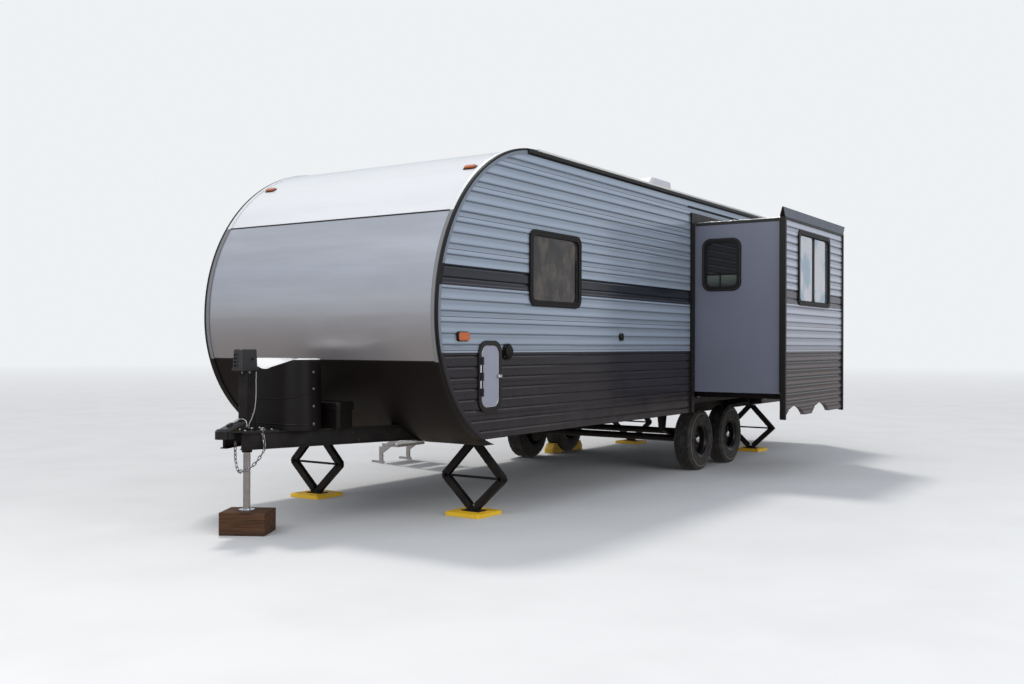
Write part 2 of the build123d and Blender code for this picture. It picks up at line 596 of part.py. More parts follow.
# Crossmembers between the rails' webs and tapered outriggers outside them
AXLE_MID = sum(AXLES) / 2
cross_x = (
    RAIL_FRONT - 25, NOSE - 1500, NOSE - 2200, NOSE - 2900, NOSE - 3600, AXLE_MID + 995, AXLE_MID,
    AXLE_MID - 995, REAR + 1470, REAR + 710, REAR + 25,
)
CROSS_Z, CROSS_H, CROSS_W, OUTRIGGER_T = 640.0, 100.0, 50.0, 10.0
with BuildPart() as crossmembers:
    for x in cross_x:
        with BuildSketch(Plane.YZ.offset(x - CROSS_W / 2)):
            with Locations((0, CROSS_Z + CROSS_H / 2)):
                Rectangle(2 * RAIL_Y - WEB, CROSS_H)
        extrude(amount=CROSS_W)
        if abs(x - AXLE_MID) > 980:
            with BuildSketch(Plane.YZ.offset(x - OUTRIGGER_T / 2)):
                for side in (1, -1):
                    y1, y2, y3 = (side * (RAIL_Y + v) for v in (WEB / 2, RAIL_W / 2, INSIDE - 2 - RAIL_Y))
                    with BuildLine():
                        Polyline(
                            (y1, 620), (y2, 628), (y3, 700), (y3, RAIL_TOP), (y2, RAIL_TOP),
                            (y2, RAIL_TOP - FLANGE), (y1, RAIL_TOP - FLANGE), close=True,
                        )
                    make_face()
            extrude(amount=OUTRIGGER_T)
    with BuildSketch(Plane.XY.offset(TONGUE_BOTTOM)):
        add(tongue_plan(TONGUE_W))
    extrude(amount=TONGUE_TOP - TONGUE_BOTTOM, mode=Mode.SUBTRACT)
crossmembers.part.label = "crossmembers"
export_step(crossmembers.part, "parts/crossmembers.step")

# Tongue frame: two channels that meet the hitch, with ties between them
with BuildPart() as tongue_frame:
    for z, height, width in ((TONGUE_BOTTOM, 8, TONGUE_W), (TONGUE_TOP - 8, 8, TONGUE_W),
                             (TONGUE_BOTTOM, TONGUE_TOP - TONGUE_BOTTOM, 14)):
        with BuildSketch(Plane.XY.offset(z)):
            add(tongue_plan(width))
        extrude(amount=height)
    with BuildSketch(Plane.XY.offset(TONGUE_TOP - 50)):
        for x, length in ((NOSE + 60, 670), (NOSE + 340, 480), (NOSE + 540, 340)):
            with Locations((x, 0)):
                Rectangle(50, length)
    extrude(amount=50)
tongue_frame.part.label = "tongue_frame"
export_step(tongue_frame.part, "parts/tongue_frame.step")

# Rear bumper tube
with BuildPart() as rear_bumper:
    with BuildSketch(Plane.XZ.offset(70 - HALF_WIDTH)):
        with Locations((REAR - BUMPER_REACH + 50, 650)):
            RectangleRounded(100, 100, 10)
    extrude(amount=2 * HALF_WIDTH - 140)
    with BuildSketch(Plane.YZ.offset(REAR - 12)):
        with Locations((RAIL_Y, 670), (-RAIL_Y, 670)):
            Rectangle(60, 130)
    extrude(amount=12)
rear_bumper.part.label = "rear_bumper"
export_step(rear_bumper.part, "parts/rear_bumper.step")

# Coupler: a plate on the tongue's tip, a nose that falls from the jack to a cup over the hitch ball
BALL_R, CUP_R, CUP_BOTTOM, CUP_DEPTH, CUP_H = 29.8, 53.0, 700.0, 50.0, 72.0
BALL_X = NOSE + HITCH_REACH - CUP_R
PLATE_T, COUPLER_Y, COUPLER_RISE = 12.0, 58.0, 78.0
JACK_TUBE, SLEEVE_R = 92.0, 38.0
with BuildPart() as coupler:
    with BuildSketch(Plane.XY.offset(TONGUE_TOP)):
        with BuildLine():
            Polyline(
                (NOSE + 560, 204), (NOSE + 825, 118), (NOSE + 872, 56), (NOSE + 872, -56),
                (NOSE + 825, -118), (NOSE + 560, -204), close=True,
            )
        make_face()
    extrude(amount=PLATE_T)
    with BuildSketch(Plane.XZ.offset(-COUPLER_Y)):
        with BuildLine():
            back = JACK_X + JACK_TUBE / 2 + 0.5
            Polyline(
                (back, TONGUE_TOP), (back, TONGUE_TOP + COUPLER_RISE - 10),
                (back + 12, TONGUE_TOP + COUPLER_RISE), (back + 50, TONGUE_TOP + COUPLER_RISE - 8),
                (BALL_X, CUP_BOTTOM + CUP_H - 2), (BALL_X, CUP_BOTTOM), (NOSE + 830, CUP_BOTTOM),
                (NOSE + 830, TONGUE_TOP), close=True,
            )
        make_face()
    extrude(amount=2 * COUPLER_Y)
    shoulder = coupler.edges().filter_by(lambda e: e.center().Z > TONGUE_TOP + 20 and e.length > 60)
    chamfer(shoulder.filter_by(Axis.Y, reverse=True), 16)
    with BuildSketch(Plane.XY.offset(CUP_BOTTOM)):
        with Locations((BALL_X, 0)):
            Circle(CUP_R)
    extrude(amount=CUP_H - 16)
    with BuildSketch(Plane.XY.offset(CUP_BOTTOM + CUP_H - 16)):
        with Locations((BALL_X, 0)):
            Circle(CUP_R)
    extrude(amount=16, taper=40)
    with BuildSketch(Plane.XY.offset(CUP_BOTTOM)):
        with Locations((BALL_X, 0)):
            Circle(BALL_R)
    extrude(amount=CUP_DEPTH, mode=Mode.SUBTRACT)
    with BuildSketch(Plane.XY.offset(TONGUE_TOP - 50)):
        with Locations((JACK_X, 0)):
            Circle(SLEEVE_R + 0.5)
    extrude(amount=100, mode=Mode.SUBTRACT)
coupler.part.label = "coupler"
export_step(coupler.part, "parts/coupler.step")

# Tongue jack: round sleeve below the plate, square housing above it, motor head, inner post, timber block
POST_R, POST_BORE = 26.0, 26.35
JACK_BOTTOM, JACK_TOP = 590.0, 1185.0
HEAD_L, HEAD_W, HEAD_H, HEAD_LIP, HEAD_AHEAD = 174.0, 94.0, 158.0, 5.0, 20.0
with BuildPart() as jack_tube:
    with BuildSketch(Plane.XY.offset(JACK_BOTTOM)):
        with Locations((JACK_X, 0)):
            Circle(SLEEVE_R)
    extrude(amount=TONGUE_TOP + PLATE_T - JACK_BOTTOM)
    with BuildSketch(Plane.XY.offset(TONGUE_TOP + PLATE_T)):
        with Locations((JACK_X, 0)):
            RectangleRounded(JACK_TUBE, JACK_TUBE, 8)
    extrude(amount=JACK_TOP - TONGUE_TOP - PLATE_T)
    with BuildSketch(Plane.XY.offset(TONGUE_TOP + PLATE_T)):
        with Locations((JACK_X - 18, 0)):
            RectangleRounded(JACK_TUBE + 26, JACK_TUBE + 64, 12)
    extrude(amount=8)
    with BuildSketch(Plane.XY.offset(JACK_BOTTOM)):
        with Locations((JACK_X, 0)):
            Circle(POST_BORE)
    extrude(amount=JACK_TOP - JACK_BOTTOM - 15, mode=Mode.SUBTRACT)
    with BuildSketch(Plane.XY.offset(TONGUE_TOP + PLATE_T)):
        with Locations((JACK_X + JACK_TUBE / 2 + 30, 0)):
            Rectangle(60, 200)
    extrude(amount=50, mode=Mode.SUBTRACT)
jack_tube.part.label = "jack_tube"
export_step(jack_tube.part, "parts/jack_tube.step")

# The head: a moulded housing on a lip, longer than the tube and set forward, louvred in front
with BuildPart() as jack_head:
    with BuildSketch(Plane.XY.offset(JACK_TOP)):
        with Locations((JACK_X + HEAD_AHEAD, 0)):
            RectangleRounded(HEAD_L + 2 * HEAD_LIP, HEAD_W + 2 * HEAD_LIP, 24)
    extrude(amount=16)
    with BuildSketch(Plane.XY.offset(JACK_TOP + 16)):
        with Locations((JACK_X + HEAD_AHEAD, 0)):
            RectangleRounded(HEAD_L, HEAD_W, 22)
    extrude(amount=HEAD_H - 16, taper=3)
    fillet(jack_head.faces().sort_by(Axis.Z)[-1].edges(), 12)
    with BuildSketch(Plane.YZ.offset(JACK_X + HEAD_AHEAD + HEAD_L / 2 - 14)):
        with Locations((0, JACK_TOP + 76)):
            with GridLocations(0, 26, 1, 4):
                Rectangle(54, 12)
    extrude(amount=30, mode=Mode.SUBTRACT)
jack_head.part.label = "jack_head"
export_step(jack_head.part, "parts/jack_head.step")

with BuildPart() as jack_post:
    with BuildSketch(Plane.XY.offset(BLOCK_Z + 0.5)):
        with Locations((JACK_X, 0)):
            Circle(58)
    extrude(amount=8)
    with BuildSketch(Plane.XY.offset(BLOCK_Z + 0.5)):
        with Locations((JACK_X, 0)):
            Circle(POST_R)
    extrude(amount=690)
jack_post.part.label = "jack_post"
export_step(jack_post.part, "parts/jack_post.step")

with BuildPart() as jack_block:
    with BuildSketch(Plane.XY):
        with Locations(Location((JACK_X - 10, 0, 0), (0, 0, 30))):
            Rectangle(270, 340)
    extrude(amount=BLOCK_Z)
    chamfer(jack_block.edges(), 4)
jack_block.part.label = "jack_block"
export_step(jack_block.part, "parts/jack_block.step")

# Moulded cover over the two gas bottles, with a valley in its top that deepens to the front
COVER_X, LOBE_Y, LOBE_R, COVER_CORNER = NOSE + 348.0, 175.0, 170.0, 150.0
COVER_TOP, VALLEY_DROP = 1272.0, 85.0
with BuildPart() as gas_cover:
    with BuildSketch(Plane.XY.offset(TONGUE_TOP)):
        with Locations((COVER_X, 0)):
            RectangleRounded(2 * LOBE_R, 2 * (LOBE_Y + LOBE_R), COVER_CORNER)
    extrude(amount=COVER_TOP - TONGUE_TOP, taper=0.8)
    fillet(gas_cover.faces().sort_by(Axis.Z)[-1].edges(), 18)
    tilt = Plane(
        origin=(COVER_X - LOBE_R - 20, 0, COVER_TOP + 4), x_dir=(0, 1, 0), z_dir=(2 * LOBE_R + 40, 0, -VALLEY_DROP)
    )
    with BuildSketch(tilt):
        with BuildLine():
            Polyline((-LOBE_Y * 1.9, 76), (-60, 10))
            ThreePointArc((-60, 10), (0, -2), (60, 10))
            Polyline((60, 10), (LOBE_Y * 1.9, 76), (LOBE_Y * 1.9, 200), (-LOBE_Y * 1.9, 200), (-LOBE_Y * 1.9, 76))
        make_face()
    extrude(amount=2 * LOBE_R + 60, mode=Mode.SUBTRACT)
gas_cover.part.label = "gas_cover"
export_step(gas_cover.part, "parts/gas_cover.step")

# Battery box behind the cover, on the road side tongue rail
BATTERY = (NOSE + 78.0, 258.0, 185.0, 330.0, 200.0)
with BuildPart() as battery_box:
    x, y, length, width, height = BATTERY
    with BuildSketch(Plane.XY.offset(TONGUE_TOP)):
        with Locations((x, y)):
            RectangleRounded(length - 20, width - 20, 24)
    extrude(amount=height - 60)
    with BuildSketch(Plane.XY.offset(TONGUE_TOP + height - 60)):
        with Locations((x, y)):
            RectangleRounded(length, width, 28)
    extrude(amount=60)
    fillet(battery_box.faces().sort_by(Axis.Z)[-1].edges(), 16)
battery_box.part.label = "battery_box"
export_step(battery_box.part, "parts/battery_box.step")

# Axles with backing plates and spindles
AXLE_R = 38.0
with BuildPart() as axles:
    for x in AXLES:
        for radius, reach in ((AXLE_R, TYRE_Y - 142), (SPINDLE_R, TYRE_Y + 33)):
            with BuildSketch(Plane.XZ.offset(-reach)):
                with Locations((x, TYRE_R)):
                    Circle(radius)
            extrude(amount=2 * reach)
        for side in (1, -1):
            with BuildSketch(Plane.XZ.offset(-side * (TYRE_Y - 142))):
                with Locations((x, TYRE_R)):
                    Circle(135)
            extrude(amount=-side * 10)
axles.part.label = "axles"
export_step(axles.part, "parts/axles.step")

# Leaf springs over the axles, with hangers and the equaliser between them
SPRING_HALF, EYE_Z, LEAF_T = 320.0, 470.0, 36.0
with BuildPart() as leaf_springs:
    for side in (1, -1):
        y0 = side * RAIL_Y + 22
        for x in AXLES:
            with BuildSketch(Plane.XZ.offset(-y0)):
                with BuildLine():
                    lower = ThreePointArc(
                        (x - SPRING_HALF, EYE_Z - LEAF_T / 2), (x, TYRE_R + AXLE_R),
                        (x + SPRING_HALF, EYE_Z - LEAF_T / 2),
                    )
                    upper = ThreePointArc(
                        (x + SPRING_HALF, EYE_Z + 6), (x, TYRE_R + AXLE_R + LEAF_T), (x - SPRING_HALF, EYE_Z + 6),
                    )
                    Line(lower @ 1, upper @ 0)
                    Line(upper @ 1, lower @ 0)
                make_face()
                with Locations((x - SPRING_HALF, EYE_Z - 6), (x + SPRING_HALF, EYE_Z - 6)):
                    Circle(22)
            extrude(amount=44)
        with BuildSketch(Plane.XZ.offset(-y0 - 6)):
            for x in (AXLES[0] + SPRING_HALF, AXLES[1] - SPRING_HALF):
                with BuildLine():
                    Polyline(
                        (x - 60, RAIL_BOTTOM), (x + 60, RAIL_BOTTOM), (x + 26, EYE_Z - 30), (x - 26, EYE_Z - 30),
                        close=True,
                    )
                make_face()
            with BuildLine():
                Polyline(
                    (AXLE_MID - 40, RAIL_BOTTOM), (AXLE_MID + 40, RAIL_BOTTOM),
                    (AXLE_MID + 140, EYE_Z - 28), (AXLE_MID - 140, EYE_Z - 28), close=True,
                )
            make_face()
        extrude(amount=56)
leaf_springs.part.label = "leaf_springs"
export_step(leaf_springs.part, "parts/leaf_springs.step")

# Wheels: radius against width, spun about each spindle
wheel_rows = (
    ("front_left", AXLES[0], 1), ("front_right", AXLES[0], -1),
    ("rear_left", AXLES[1], 1), ("rear_right", AXLES[1], -1),
)
for name, x, side in wheel_rows:
    hub_plane = Plane(origin=(x, side * TYRE_Y, TYRE_R), x_dir=(0, 0, 1), z_dir=(-side, 0, 0))
    wheel_axis = Axis((x, side * TYRE_Y, TYRE_R), (0, side, 0))
    # Local x is the radius and local y the way outward
    with BuildPart() as tyre:
        with BuildSketch(hub_plane):
            with BuildLine():
                w, crown_r, wall_r, inner_r = TYRE_W / 2, TYRE_R - 2, TYRE_R - 20, TYRE_R - 30
                mid_r = (RIM_R + TYRE_R) / 2
                Polyline((RIM_R, -82), (RIM_R, -68), (RIM_R + 35, 29 - w))
                ThreePointArc((RIM_R + 35, 29 - w), (mid_r, 15 - w), (inner_r, 29 - w))
                Polyline((inner_r, 29 - w), (wall_r, 47 - w), (wall_r, w - 47), (inner_r, w - 29))
                ThreePointArc((inner_r, w - 29), (mid_r, w - 15), (RIM_R + 35, w - 29))
                Polyline((RIM_R + 35, w - 29), (RIM_R, 68), (RIM_R, 82), (RIM_R + 22, 91))
                ThreePointArc((RIM_R + 22, 91), (mid_r, w), (wall_r, w - 9))
                ThreePointArc((wall_r, w - 9), (TYRE_R - 6, w - 17), (crown_r, w - 33))
                ThreePointArc((crown_r, w - 33), (TYRE_R, 0), (crown_r, 33 - w))
                ThreePointArc((crown_r, 33 - w), (TYRE_R - 6, 17 - w), (wall_r, 9 - w))
                ThreePointArc((wall_r, 9 - w), (mid_r, -w), (RIM_R + 22, -91))
                Line((RIM_R + 22, -91), (RIM_R, -82))
            make_face()
        revolve(axis=wheel_axis)
    tyre.part.label = f"tyre_{name}"
    export_step(tyre.part, f"parts/tyre_{name}.step")
    with BuildPart() as rim:
        with BuildSketch(hub_plane):
            with BuildLine():
                Polyline(
                    (SPINDLE_R + 1, -95), (120, -95), (128, -60), (120, -35), (62, -30), (62, -2), (110, 8),
                    (150, -6), (RIM_R - 26, 0), (RIM_R - 26, -64), (RIM_R - 8, -82), (RIM_R - 8, -90),
                    (RIM_R + 14, -99), (RIM_R + 18, -93), (RIM_R, -83), (RIM_R, -66), (RIM_R - 20, -56),
                    (RIM_R - 20, 50), (RIM_R, 64), (RIM_R, 83), (RIM_R + 18, 93), (RIM_R + 14, 99),
                    (RIM_R - 8, 90), (RIM_R - 8, 82), (RIM_R - 26, 62), (RIM_R - 26, 10), (150, 4), (110, 18),
                    (62, 12), (56, 30), (40, 48), (0, 52), (0, 38), (SPINDLE_R + 1, 38), close=True,
                )
            make_face()
        revolve(axis=wheel_axis)
        with BuildSketch(Plane.XZ.offset(-side * (TYRE_Y + 30))):
            with Locations((x, TYRE_R)):
                with PolarLocations(136, 8):
                    Circle(13)
        extrude(amount=side * 50, mode=Mode.SUBTRACT)
    rim.part.label = f"rim_{name}"
    export_step(rim.part, f"parts/rim_{name}.step")

# Scissor jacks, each in the body's cross plane, and the square pads below them
JACK_XS, JACK_Y = (NOSE - 930.0, REAR + 1470.0), RAIL_Y + 10
ELBOW_Y, ELBOW_Z, APEX_Z, FOOT_Z = 290.0, 305.0, 572.0, 55.0
with BuildPart() as scissor_jacks:
    for x in JACK_XS:
        for jy in (JACK_Y, -JACK_Y):
            with BuildSketch(Plane.YZ.offset(x - 22)):
                for s in (1, -1):
                    for (y1, z1), (y2, z2) in (
                        ((jy + s * 30, APEX_Z), (jy + s * ELBOW_Y, ELBOW_Z)),
                        ((jy + s * ELBOW_Y, ELBOW_Z), (jy + s * 30, FOOT_Z)),
                    ):
                        size = sqrt((y2 - y1) ** 2 + (z2 - z1) ** 2)
                        ny, nz = -(z2 - z1) / size * 17, (y2 - y1) / size * 17
                        with BuildLine():
                            Polyline(
                                (y1 + ny, z1 + nz), (y2 + ny, z2 + nz), (y2 - ny, z2 - nz), (y1 - ny, z1 - nz),
                                close=True,
                            )
                        make_face()
                    with Locations((jy + s * ELBOW_Y, ELBOW_Z)):
                        Circle(22)
                with Locations((jy, APEX_Z + 6)):
                    Rectangle(116, 44)
                with Locations((jy, FOOT_Z - 6)):
                    Rectangle(110, 30)
            extrude(amount=44)
            with BuildSketch(Plane.XZ.offset(-jy - ELBOW_Y)):
                with Locations((x, ELBOW_Z)):
                    Circle(10)
            extrude(amount=2 * ELBOW_Y)
            with BuildSketch(Plane.XY.offset(PAD_Z)):
                with Locations((x, jy)):
                    Rectangle(110, 170)
            extrude(amount=8)
scissor_jacks.part.label = "scissor_jacks"
export_step(scissor_jacks.part, "parts/scissor_jacks.step")

with BuildPart() as jack_pads:
    with BuildSketch(Plane.XY):
        for x in JACK_XS:
            with Locations((x, JACK_Y), (x, -JACK_Y)):
                RectangleRounded(340, 340, 20)
    extrude(amount=PAD_Z)
jack_pads.part.label = "jack_pads"
export_step(jack_pads.part, "parts/jack_pads.step")

# Wedge chocks before and behind the kerb side's rear wheel, hollowed to the tyre
CHOCK_FOOT, CHOCK_END, CHOCK_H, CHOCK_W, CHOCK_GAP = 95.0, 375.0, 118.0, 120.0, 6.0
with BuildPart() as chocks:
    with BuildSketch(Plane.XZ.offset(TYRE_Y - CHOCK_W / 2)):
        for s in (1, -1):
            with BuildLine():
                x = AXLES[1]
                Polyline(
                    (x + s * CHOCK_FOOT, 0), (x + s * CHOCK_END, 0), (x + s * CHOCK_END, 50),
                    (x + s * (CHOCK_END - 50), CHOCK_H), (x + s * CHOCK_FOOT, CHOCK_H), close=True,
                )
            make_face()
        with Locations((AXLES[1], TYRE_R)):
            Circle(TYRE_R + CHOCK_GAP, mode=Mode.SUBTRACT)
    extrude(amount=CHOCK_W)
chocks.part.label = "chocks"
export_step(chocks.part, "parts/chocks.step")

# Entry steps, let down to the ground on the kerb side
STEP_TOP, STEP_END, STEP_W = (-HALF_WIDTH, 770.0), (131.0 - SLIDE_FACE_Y, 130.0), 490.0
with BuildPart() as entry_steps:
    for s in (1, -1):
        with BuildSketch(Plane.YZ.offset(ENTRY[0] + s * STEP_W / 2 - 10)):
            with BuildLine():
                Polyline(
                    STEP_TOP, (STEP_TOP[0] - 50, STEP_TOP[1]), (STEP_END[0], STEP_END[1] + 45),
                    (STEP_END[0], STEP_END[1] - 25), (STEP_TOP[0], STEP_TOP[1] - 90), close=True,
                )
            make_face()
            with Locations((STEP_END[0] - 10, 95)):
                Rectangle(50, 190)
            with Locations((STEP_END[0] - 55, 12)):
                Rectangle(180, 24)
        extrude(amount=20)
    for y, z in ((STEP_END[0] + 670, 590), (STEP_END[0] + 395, 400), (STEP_END[0] + 120, 210)):
        with BuildSketch(Plane.YZ.offset(ENTRY[0] - STEP_W / 2)):
            with Locations((y, z)):
                Rectangle(240, 34)
        extrude(amount=STEP_W)
entry_steps.part.label = "entry_steps"
export_step(entry_steps.part, "parts/entry_steps.step")

# Room slide: a four-sided shell, open inward, with its ribbed outer face
with BuildPart() as slide_shell:
    with BuildSketch(Plane.XZ.offset(-SLIDE_INNER_Y)):
        with Locations((SLIDE_MID, (SLIDE_FLOOR_Z + SLIDE_TOP_Z) / 2)):
            Rectangle(SLIDE_FRONT - SLIDE_REAR, SLIDE_TOP_Z - SLIDE_FLOOR_Z)
            Rectangle(SLIDE_FRONT - SLIDE_REAR - 2 * WALL, SLIDE_TOP_Z - SLIDE_FLOOR_Z - 2 * WALL, mode=Mode.SUBTRACT)
    extrude(amount=-(SLIDE_SHELL_Y - SLIDE_INNER_Y))
    y, w, z, h = SLIDE_SIDE_WINDOW
    with BuildSketch(Plane.YZ.offset(SLIDE_FRONT - 2 * WALL)):
        with Locations((y, z)):
            RectangleRounded(w - 2 * FRAME_W, h - 2 * FRAME_W, 70)
    extrude(amount=3 * WALL, mode=Mode.SUBTRACT)
slide_shell.part.label = "slide_shell"
export_step(slide_shell.part, "parts/slide_shell.step")

face_rows = (("slide_face", DARK_LINE_Z, FASCIA_Z), ("slide_face_lower", FACE_BOTTOM_Z, DARK_LINE_Z))
for name, low_z, high_z in face_rows:
    with BuildPart() as face:
        with BuildSketch(Plane.YZ.offset(SLIDE_REAR - FACE_LAP)):
            add(ribbed(SLIDE_FACE_Y, SLIDE_SHELL_Y, low_z, high_z))
        extrude(amount=SLIDE_FRONT - SLIDE_REAR + 2 * FACE_LAP)
        with BuildSketch(Plane.XZ.offset(-SLIDE_SHELL_Y + 10)):
            if low_z == FACE_BOTTOM_Z:
                for x in AXLES:
                    with Locations((x, 250)):
                        Circle(500)
            else:
                x, w, z, h = SLIDE_WINDOW
                with Locations((x, z)):
                    RectangleRounded(w - 2 * FRAME_W, h - 2 * FRAME_W, 55)
        extrude(amount=-100, mode=Mode.SUBTRACT)
    face.part.label = name
    export_step(face.part, f"parts/{name}.step")

# Fascia: a wedge along the face's top, upright outside, with flared ends
FASCIA_LOW_Z = FASCIA_Z + FASCIA_RAIL
with BuildPart() as slide_fascia:
    with BuildSketch(Plane.YZ.offset(SLIDE_REAR - FACE_LAP - FASCIA_FLARE)):
        with BuildLine():
            Polyline(
                (SLIDE_SHELL_Y, FASCIA_LOW_Z), (SLIDE_FACE_Y + 9, FASCIA_LOW_Z), (SLIDE_FACE_Y + 9, FASCIA_TOP_Z),
                (SLIDE_FACE_Y - 3, FASCIA_TOP_Z), (SLIDE_SHELL_Y, SLIDE_TOP_Z + 15), close=True,
            )
        make_face()
    extrude(amount=SLIDE_FRONT - SLIDE_REAR + 2 * (FACE_LAP + FASCIA_FLARE))
    with BuildSketch(Plane.XZ.offset(-SLIDE_SHELL_Y + 10)):
        with BuildLine():
            front, back = SLIDE_FRONT + FACE_LAP, SLIDE_REAR - FACE_LAP
            Polyline(
                (back, FASCIA_LOW_Z), (front, FASCIA_LOW_Z), (front + FASCIA_FLARE, FASCIA_TOP_Z),
                (back - FASCIA_FLARE, FASCIA_TOP_Z), close=True,
            )
        make_face()
    extrude(amount=-WALL - 40, mode=Mode.INTERSECT)
slide_fascia.part.label = "slide_fascia"
export_step(slide_fascia.part, "parts/slide_fascia.step")

# Angle trims down both ends of the face, joined by the rail below the fascia
with BuildPart() as slide_edge_trims:
    for x, s in ((SLIDE_FRONT + FACE_LAP, 1), (SLIDE_REAR - FACE_LAP, -1)):
        with BuildSketch(Plane.XY.offset(FACE_BOTTOM_Z - 20)):
            with BuildLine():
                Polyline(
                    (x, SLIDE_SHELL_Y + 12), (x + s * 8, SLIDE_SHELL_Y + 12), (x + s * 8, SLIDE_FACE_Y + 14),
                    (x - s * 30, SLIDE_FACE_Y + 14), (x - s * 30, SLIDE_FACE_Y), (x, SLIDE_FACE_Y), close=True,
                )
            make_face()
        extrude(amount=FASCIA_LOW_Z - FACE_BOTTOM_Z + 20)
    with BuildSketch(Plane.YZ.offset(SLIDE_REAR - FACE_LAP)):
        with Locations(((SLIDE_SHELL_Y + SLIDE_FACE_Y + 11) / 2, FASCIA_Z + FASCIA_RAIL / 2)):
            Rectangle(SLIDE_FACE_Y + 11 - SLIDE_SHELL_Y, FASCIA_RAIL)
    extrude(amount=SLIDE_FRONT - SLIDE_REAR + 2 * FACE_LAP)
slide_edge_trims.part.label = "slide_edge_trims"
export_step(slide_edge_trims.part, "parts/slide_edge_trims.step")

with BuildPart() as slide_window_frames:
    x, w, z, h = SLIDE_WINDOW
    with BuildSketch(Plane.XZ.offset(-SLIDE_FACE_Y)):
        with Locations((x, z)):
            RectangleRounded(w, h, 80)
            RectangleRounded(w - 2 * FRAME_W - 24, h - 2 * FRAME_W - 24, 50, mode=Mode.SUBTRACT)
    extrude(amount=-14)
    with BuildSketch(Plane.XZ.offset(-SLIDE_FACE_Y)):
        with Locations((x, z)):
            RectangleRounded(w - 2 * FRAME_W, h - 2 * FRAME_W, 55)
            RectangleRounded(w - 2 * FRAME_W - 24, h - 2 * FRAME_W - 24, 50, mode=Mode.SUBTRACT)
            Rectangle(26, h - 2 * FRAME_W - 20)
    extrude(amount=SLIDE_FACE_Y - SLIDE_SHELL_Y)
    y, w, z, h = SLIDE_SIDE_WINDOW
    with BuildSketch(Plane.YZ.offset(SLIDE_FRONT)):
        with Locations((y, z)):
            RectangleRounded(w, h, 95)
            RectangleRounded(w - 2 * FRAME_W - 24, h - 2 * FRAME_W - 24, 62, mode=Mode.SUBTRACT)
    extrude(amount=14)
    with BuildSketch(Plane.YZ.offset(SLIDE_FRONT)):
        with Locations((y, z)):
            RectangleRounded(w - 2 * FRAME_W, h - 2 * FRAME_W, 70)
            RectangleRounded(w - 2 * FRAME_W - 24, h - 2 * FRAME_W - 24, 62, mode=Mode.SUBTRACT)
    extrude(amount=-WALL)
slide_window_frames.part.label = "slide_window_frames"
export_step(slide_window_frames.part, "parts/slide_window_frames.step")

with BuildPart() as slide_window_glass:
    x, w, z, h = SLIDE_WINDOW
    pane = (w - 2 * FRAME_W - 24 - 26) / 2
    with BuildSketch(Plane.XZ.offset(-SLIDE_FACE_Y + 10)):
        with Locations((x - pane / 2 - 13, z), (x + pane / 2 + 13, z)):
            Rectangle(pane, h - 2 * FRAME_W - 24)
        with Locations((x, z)):
            RectangleRounded(w - 2 * FRAME_W - 24, h - 2 * FRAME_W - 24, 50, mode=Mode.INTERSECT)
    extrude(amount=6)
    y, w, z, h = SLIDE_SIDE_WINDOW
    with BuildSketch(Plane.YZ.offset(SLIDE_FRONT - 10)):
        with Locations((y, z)):
            RectangleRounded(w - 2 * FRAME_W - 24, h - 2 * FRAME_W - 24, 62)
    extrude(amount=-6)
slide_window_glass.part.label = "slide_window_glass"
export_step(slide_window_glass.part, "parts/slide_window_glass.step")

# Box beams that carry the slide, running in over the floor through guide channels
BEAM_W, BEAM_Z, BEAM_T, BEAM_IN, GUIDE_T = 70.0, FLOOR_Z + FLOOR_T + 7, 6.0, 600.0, 8.0
BEAM_H = SLIDE_FLOOR_Z - BEAM_Z
beam_xs = (SLIDE_FRONT - 260, SLIDE_REAR + 260)
with BuildPart() as slide_guides:
    for x in beam_xs:
        with BuildSketch(Plane.XZ.offset(-BEAM_IN + 40)):
            with Locations((x, BEAM_Z - 0.5 - 3.25)):
                Rectangle(BEAM_W + 2 * GUIDE_T + 1, 6.5)
            for s in (1, -1):
                with Locations((x + s * (BEAM_W / 2 + 0.5 + GUIDE_T / 2), BEAM_Z - 7 + 25)):
                    Rectangle(GUIDE_T, 50)
        extrude(amount=-(INSIDE - 5 - BEAM_IN + 40))
slide_guides.part.label = "slide_guides"
export_step(slide_guides.part, "parts/slide_guides.step")

with BuildPart() as slide_beams:
    with BuildSketch(Plane.XZ.offset(-BEAM_IN)):
        with Locations(*((x, BEAM_Z + BEAM_H / 2) for x in beam_xs)):
            Rectangle(BEAM_W, BEAM_H)
            Rectangle(BEAM_W - 2 * BEAM_T, BEAM_H - 2 * BEAM_T, mode=Mode.SUBTRACT)
    extrude(amount=-(SLIDE_SHELL_Y - BEAM_IN))
slide_beams.part.label = "slide_beams"
export_step(slide_beams.part, "parts/slide_beams.step")
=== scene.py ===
import json
import math

import bmesh
import bpy
from mathutils import Matrix, Vector


